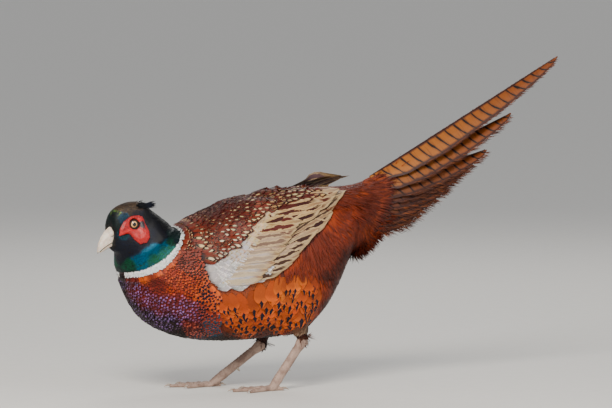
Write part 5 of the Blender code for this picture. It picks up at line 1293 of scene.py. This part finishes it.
def makeLegMaterial():
    settings = {"Roughness": 0.5, "Specular IOR Level": 0.4}
    material, tree, shader = plainMaterial("legScale", **settings)
    place = objectPlace(tree)
    cells = addNode(tree, "ShaderNodeTexVoronoi", {"Vector": place, "Scale": 900.0}, feature="DISTANCE_TO_EDGE")
    groove = rampUp(tree, cells.outputs["Distance"], 0.02, 0.12)
    cloud = noiseOf(tree, place, 120.0, 4.0)
    tint = mixColours(tree, rampUp(tree, cloud, 0.35, 0.7), tuple(linear((178, 150, 134))), tuple(linear((140, 112, 98))))
    lined = mixColours(tree, calc(tree, "MULTIPLY", calc(tree, "SUBTRACT", 1.0, groove), 0.3), tint, tuple(linear((84, 64, 54))))
    scute = mixColours(tree, readAttribute(tree, "shade", "Fac"), lined, tuple(linear((86, 66, 56))))
    tree.links.new(scute, shader.inputs["Base Color"])
    relief = addNode(tree, "ShaderNodeBump", {"Height": groove, "Strength": 0.45, "Distance": 0.0003})
    tree.links.new(relief.outputs[0], shader.inputs["Normal"])
    return material


def makeSkinMaterial():
    material, tree, shader = plainMaterial("downySkin", **{"Roughness": 0.8})
    place = objectPlace(tree)
    fuzz = noiseOf(tree, place, 900.0, 4.0, 0.7)
    dark = mixColours(tree, rampUp(tree, fuzz, 0.35, 0.7), readAttribute(tree, "ground"), (0.01, 0.008, 0.007))
    tree.links.new(dark, shader.inputs["Base Color"])
    relief = addNode(tree, "ShaderNodeBump", {"Height": fuzz, "Strength": 0.6, "Distance": 0.0005})
    tree.links.new(relief.outputs[0], shader.inputs["Normal"])
    return material


hornMaterial, wattleMaterial, eyeMaterial = makeHornMaterial(), makeWattleMaterial(), makeEyeMaterial()
legMaterial, skinMaterial = makeLegMaterial(), makeSkinMaterial()


def makeBill():
    for half in ("bill_upper", "bill_lower"):
        piece = smoothCopy(half + "_horn", [half], 0.42, 4)
        head = toHead(readPoints(piece) / mm)
        edge = np.interp(head[:, 0], [14, 26, 33, 40, 46, 50], [-11, -11.9, -12.9, -14.1, -15.8, -18])
        # The dark line along the gape between the two halves and the dark nostril slit are painted shade.
        shade = 0.75 * ease(1.3, 0.2, np.abs(head[:, 2] - edge)) + 0.35 * ease(44, 52, head[:, 0])
        slit = np.hypot((head[:, 0] - 27) / 4.0, (head[:, 2] + 5.0) / 1.0)
        shade = np.maximum(shade, 0.9 * ease(1.1, 0.5, slit) * (half == "bill_upper"))
        if half == "bill_lower":
            shade = shade + 0.35
        shade = shade - 0.1 * ease(30, 24, head[:, 0]) * (head[:, 2] > -8)
        setAttribute(piece.data, "shade", shade.clip(0, 1) * 0.8)
        finishPiece(piece, hornMaterial, [half])


def bumpsOn(piece, spacing, height, width, seed):  # low warts all over a surface
    points, normals = readPoints(piece), readNormals(piece)
    places, spare = scatter(surfaceOf(piece), lambda found: np.full(len(found), spacing * mm), seed, 6)
    tree = KDTree(len(places))
    for k, place in enumerate(places.tolist()):
        tree.insert(place, k)
    tree.balance()
    away = np.array([tree.find(point)[2] for point in points.tolist()]) / mm
    crest = np.exp(-(away / width) ** 2)
    return points, normals, crest


def makeWattle(sideName):
    piece = smoothCopy("wattle_skin_" + sideName, ["wattle_" + sideName], 0.42, 5)
    points, normals, crest = bumpsOn(piece, 1.15, 0.4, 0.45, 81)
    writePoints(piece, points + normals * (crest[:, None] * 0.42 + 0.14) * mm)
    head = toHead(points / mm)
    angle = np.degrees(np.arctan2(head[:, 2], head[:, 0])) % 360
    reach = np.hypot(head[:, 0], head[:, 2])
    patch = ease(170, 184, angle) * ease(236, 222, angle) * ease(5.5, 7.0, reach) * ease(12.5, 10.5, reach)
    # The bump height is kept as the colour's crest value: painted shade in the hollows and painted light on the crests.
    setAttribute(piece.data, "shade", crest)
    setAttribute(piece.data, "patch", patch * 0.97)
    finishPiece(piece, wattleMaterial, ["wattle_" + sideName])


eyePlan = {"radius": 6.6, "depth": 3.9, "lidRadius": 5.25, "lidHeight": 0.35, "lidThickness": 0.8}


def makeEye(sideName):
    side = -sides[sideName]
    axis = np.array(headPlan["eyeAxis"]) * (1, side, 1)
    axis /= np.linalg.norm(axis)
    seat = np.array(headPlan["eyeSeat"]) * (1, side, 1)
    ahead = np.array((1.0, 0, 0)) - axis * axis[0]
    ahead /= np.linalg.norm(ahead)
    above = np.cross(axis, ahead)
    above = above if above[2] > 0 else -above
    bpy.ops.mesh.primitive_uv_sphere_add(segments=64, ring_count=40, radius=1.0)
    ball = bpy.context.active_object
    ball.name = ball.data.name = "eyeball_" + sideName
    points = readPoints(ball)
    turn = np.arccos(points[:, 2].clip(-1, 1))
    around = np.arctan2(points[:, 1], points[:, 0])
    bulge = 1 + 0.05 * np.exp(-(turn / 0.5) ** 2)
    frameOf = np.stack([ahead, above, axis])
    placed = seat - axis * eyePlan["depth"] + (points * bulge[:, None] * (eyePlan["radius"] - 0.1)) @ frameOf
    writePoints(ball, fromHead(placed) * mm)
    setAttribute(ball.data, "turn", turn)
    setAttribute(ball.data, "around", around)
    if np.linalg.det(frameOf @ axesOfHead) < 0:
        activate(ball)
        bpy.ops.object.mode_set(mode="EDIT")
        bpy.ops.mesh.select_all(action="SELECT")
        bpy.ops.mesh.flip_normals()
        bpy.ops.object.mode_set(mode="OBJECT")
    bpy.ops.object.select_all(action="DESELECT")
    activate(ball)
    bpy.ops.object.shade_smooth()
    finishPiece(ball, eyeMaterial, ["eye_" + sideName])
    rings = []
    for k in range(72):
        a = 2 * np.pi * k / 72
        reach = ahead * math.cos(a) * 1.05 + above * math.sin(a) * 0.92
        out = reach / np.linalg.norm(reach)
        wrinkle = 1 + 0.08 * math.sin(a * 18) + 0.05 * math.sin(a * 7 + 1)
        ring = []
        for b in np.linspace(0, 2 * np.pi, 12, endpoint=False):
            rise = (out * math.cos(b) + axis * math.sin(b)) * eyePlan["lidThickness"] * wrinkle
            ring.append(seat + axis * eyePlan["lidHeight"] + reach * eyePlan["lidRadius"] + rise)
        rings.append(fromHead(ring) * mm)
    lid = closedTube("lid_" + sideName, rings)
    setAttribute(lid.data, "ground", np.tile(linear((44, 22, 24)), (len(lid.data.vertices), 1)))
    finishPiece(lid, skinMaterial)


def closedTube(name, rings):  # a ring-shaped tube without ends
    rows, around = len(rings), len(rings[0])
    k = np.arange(rows * around).reshape(rows, around)
    ahead, beside = np.roll(k, -1, axis=0), np.roll(k, -1, axis=1)
    across = np.roll(ahead, -1, axis=1)
    faces = np.stack([k, beside, across, ahead], axis=-1).reshape(-1, 4)
    mesh = bpy.data.meshes.new(name)
    mesh.from_pydata(np.reshape(rings, (-1, 3)).tolist(), [], faces.tolist())
    piece = bpy.data.objects.new(name, mesh)
    bpy.context.scene.collection.objects.link(piece)
    activate(piece)
    bpy.ops.object.mode_set(mode="EDIT")
    bpy.ops.mesh.select_all(action="SELECT")
    bpy.ops.mesh.normals_make_consistent(inside=False)
    bpy.ops.object.mode_set(mode="OBJECT")
    bpy.ops.object.shade_smooth()
    return piece


tuftPlan = {"root": (-20, 10.5, 15.5), "tip": (-39.5, 13.5, 9.5), "count": 60}


def makeTuft(sideName):
    rng = np.random.default_rng(91)
    count = tuftPlan["count"]
    flip = np.array((1, -sides[sideName], 1))
    start = np.array(tuftPlan["root"]) * flip + rng.normal(0, 1, (count, 3)) * (3.2, 0.9, 2.0)
    end = np.array(tuftPlan["tip"]) * flip + rng.normal(0, 1, (count, 3)) * (2.0, 0.8, 1.8)
    start, end = fromHead(start) * mm, fromHead(end) * mm
    ways = end - start
    lengths = np.linalg.norm(ways, axis=1)
    ways /= lengths[:, None]
    out = np.tile(np.array((0, -sides[sideName], 0.6)) @ axesOfHead, (count, 1))
    out = out - ways * (out * ways).sum(axis=1)[:, None]
    out /= np.linalg.norm(out, axis=1)[:, None]
    top, soft = freeStrands(start, ways, out, lengths, 0.6 * mm, 0.05, rng, 7)
    marks = {"ground": np.tile(colour["inkBlack"], (count, 1)), "mark": np.tile(colour["blueBlack"], (count, 1)),
             "fringe": np.tile(colour["inkBlack"], (count, 1)), "reach": np.full(count, 0.5), "gloss": np.full(count, 0.3)}
    part = {"mesh": vaneMesh(top, soft, 0.3), "marks": varied(marks, rng), "spots": unwrapPlaces(start, out)}
    pieceOfVanes("ear_feathers_" + sideName, materials["hair"], [part], ["ear_tuft_" + sideName])


legPlan = {"left": ((-40, -32, 61), (-72, -33.5, 14)), "right": ((-77, 32, 51), (-126, 33, 14)), "pitch": 3.6}


def makeLeg(sideName):
    piece = smoothCopy("leg_" + sideName, ["shank_" + sideName, "foot_" + sideName], 0.75, 3)
    points, normals = readPoints(piece), readNormals(piece)
    hock, ankle = (np.array(place) * mm for place in legPlan[sideName])
    along = (ankle - hock) / np.linalg.norm(ankle - hock)
    down = (points - hock) @ along / mm
    front = np.array((-1.0, 0, 0)) - along * -along[0]
    front /= np.linalg.norm(front)
    facing = ease(0.25, 0.7, normals @ front)
    onFoot = ease(13, 10, points[:, 2] / mm)
    toe = ease(0.4, 0.8, normals[:, 2]) * onFoot
    reach = np.linalg.norm(points - ankle, axis=1) / mm
    step = (down / legPlan["pitch"]) % 1.0
    toeStep = (reach / 2.6) % 1.0
    onShank = facing * ease(11, 14, down) * (1 - onFoot)
    raised = 0.34 * onShank * (1 - step) + 0.28 * toe * (1 - toeStep)
    writePoints(piece, points + normals * (raised[:, None] - 0.1) * mm)
    line = np.maximum(ease(0.82, 0.97, step) * onShank, ease(0.8, 0.96, toeStep) * toe)
    setAttribute(piece.data, "shade", line * 0.7)
    finishPiece(piece, legMaterial, ["shank_" + sideName, "foot_" + sideName])
    toes = ("inner", "middle", "outer", "hind")
    claws = smoothCopy("claws_" + sideName, [f"claw_{sideName}_{toe}" for toe in toes], 0.38, 2)
    setAttribute(claws.data, "shade", np.full(len(claws.data.vertices), 0.55))
    finishPiece(claws, hornMaterial, [f"claw_{sideName}_{toe}" for toe in toes])
    spur = smoothCopy("spur_horn_" + sideName, ["spur_" + sideName], 0.38, 2)
    setAttribute(spur.data, "shade", np.full(len(spur.data.vertices), 0.45))
    finishPiece(spur, hornMaterial, ["spur_" + sideName])


makeBill()
for sideName in sides:
    makeWattle(sideName)
    makeEye(sideName)
    makeTuft(sideName)
    makeLeg(sideName)
print("bare parts made")


def finishSkin():
    points = readPoints(skin)
    onHead = ringDistance(points)[0] < 0
    headMarks, bodyMarks = paintAt(points, headPaint), paintAt(points, bodyPaint)
    rumpMarks = paintAt(points, rumpPaint)
    ground = np.where(onHead[:, None], headMarks["ground"], bodyMarks["ground"])
    ground = np.where((bodyKind(points) == "rump")[:, None], rumpMarks["ground"], ground)
    # The skin is painted at 0.55 of the coat's ground colour: painted shade in the gaps between the feathers.
    setAttribute(skin.data, "ground", ground * 0.55)
    activate(skin)
    bpy.ops.object.shade_smooth()
    finishPiece(skin, skinMaterial, ["torso", "neck", "head", "thigh_left", "thigh_right", "rump"])


finishSkin()


# The studio: a pale floor, soft lights and the camera of the photo.
studioPlan = {"azimuth": -15.0, "elevation": 4.0, "distance": 6.0, "width": 0.765, "aim": (-0.0213, 0.0221, 0.2270)}
lightPlans = [
    {"name": "key", "size": 0.9, "power": 64.0, "tint": (1.0, 0.95, 0.88), "place": (-0.9, -1.7, 1.5)},
    {"name": "fill", "size": 2.0, "power": 16.0, "tint": (0.88, 0.93, 1.0), "place": (1.8, -1.6, 0.9)},
    {"name": "rim", "size": 1.0, "power": 14.0, "tint": (1.0, 0.98, 0.95), "place": (0.6, 1.7, 1.7)},
]


def makeStudio():
    bpy.ops.mesh.primitive_plane_add(size=40.0)
    floor = bpy.context.active_object
    floor.name = floor.data.name = "floor"
    material, tree, shader = plainMaterial("paleFloor", **{"Roughness": 0.9})
    grain = noiseOf(tree, objectPlace(tree), 60.0, 3.0)
    tint = mixColours(tree, grain, tuple(linear((214, 211, 204))), tuple(linear((222, 219, 213))))
    tree.links.new(tint, shader.inputs["Base Color"])
    floor.data.materials.append(material)
    world = bpy.data.worlds.new("studio")
    bpy.context.scene.world = world
    world.use_nodes = True
    world.node_tree.nodes["Background"].inputs["Color"].default_value = (0.86, 0.88, 0.92, 1)
    world.node_tree.nodes["Background"].inputs["Strength"].default_value = 0.6
    for plan in lightPlans:
        light = bpy.data.lights.new(plan["name"], "AREA")
        light.shape, light.size = "DISK", plan["size"]
        light.energy, light.color = plan["power"], plan["tint"]
        lamp = bpy.data.objects.new(plan["name"], light)
        bpy.context.scene.collection.objects.link(lamp)
        lamp.location = plan["place"]
        away = Vector(plan["place"]) - Vector((-0.05, 0, 0.2))
        lamp.rotation_euler = away.to_track_quat("Z", "Y").to_euler()
    camera = bpy.data.cameras.new("camera")
    camera.sensor_width = 36.0
    camera.lens = 36.0 * studioPlan["distance"] / studioPlan["width"]
    camera.clip_end = 100.0
    holder = bpy.data.objects.new("camera", camera)
    bpy.context.scene.collection.objects.link(holder)
    turn, rise = math.radians(studioPlan["azimuth"]), math.radians(studioPlan["elevation"])
    back = Vector((math.sin(turn) * math.cos(rise), -math.cos(turn) * math.cos(rise), math.sin(rise)))
    holder.location = Vector(studioPlan["aim"]) + back * studioPlan["distance"]
    holder.rotation_euler = back.to_track_quat("Z", "Y").to_euler()
    bpy.context.scene.camera = holder


for spare in ("Cube", "Light", "Camera"):
    if spare in bpy.data.objects:
        bpy.data.objects.remove(bpy.data.objects[spare])
makeStudio()
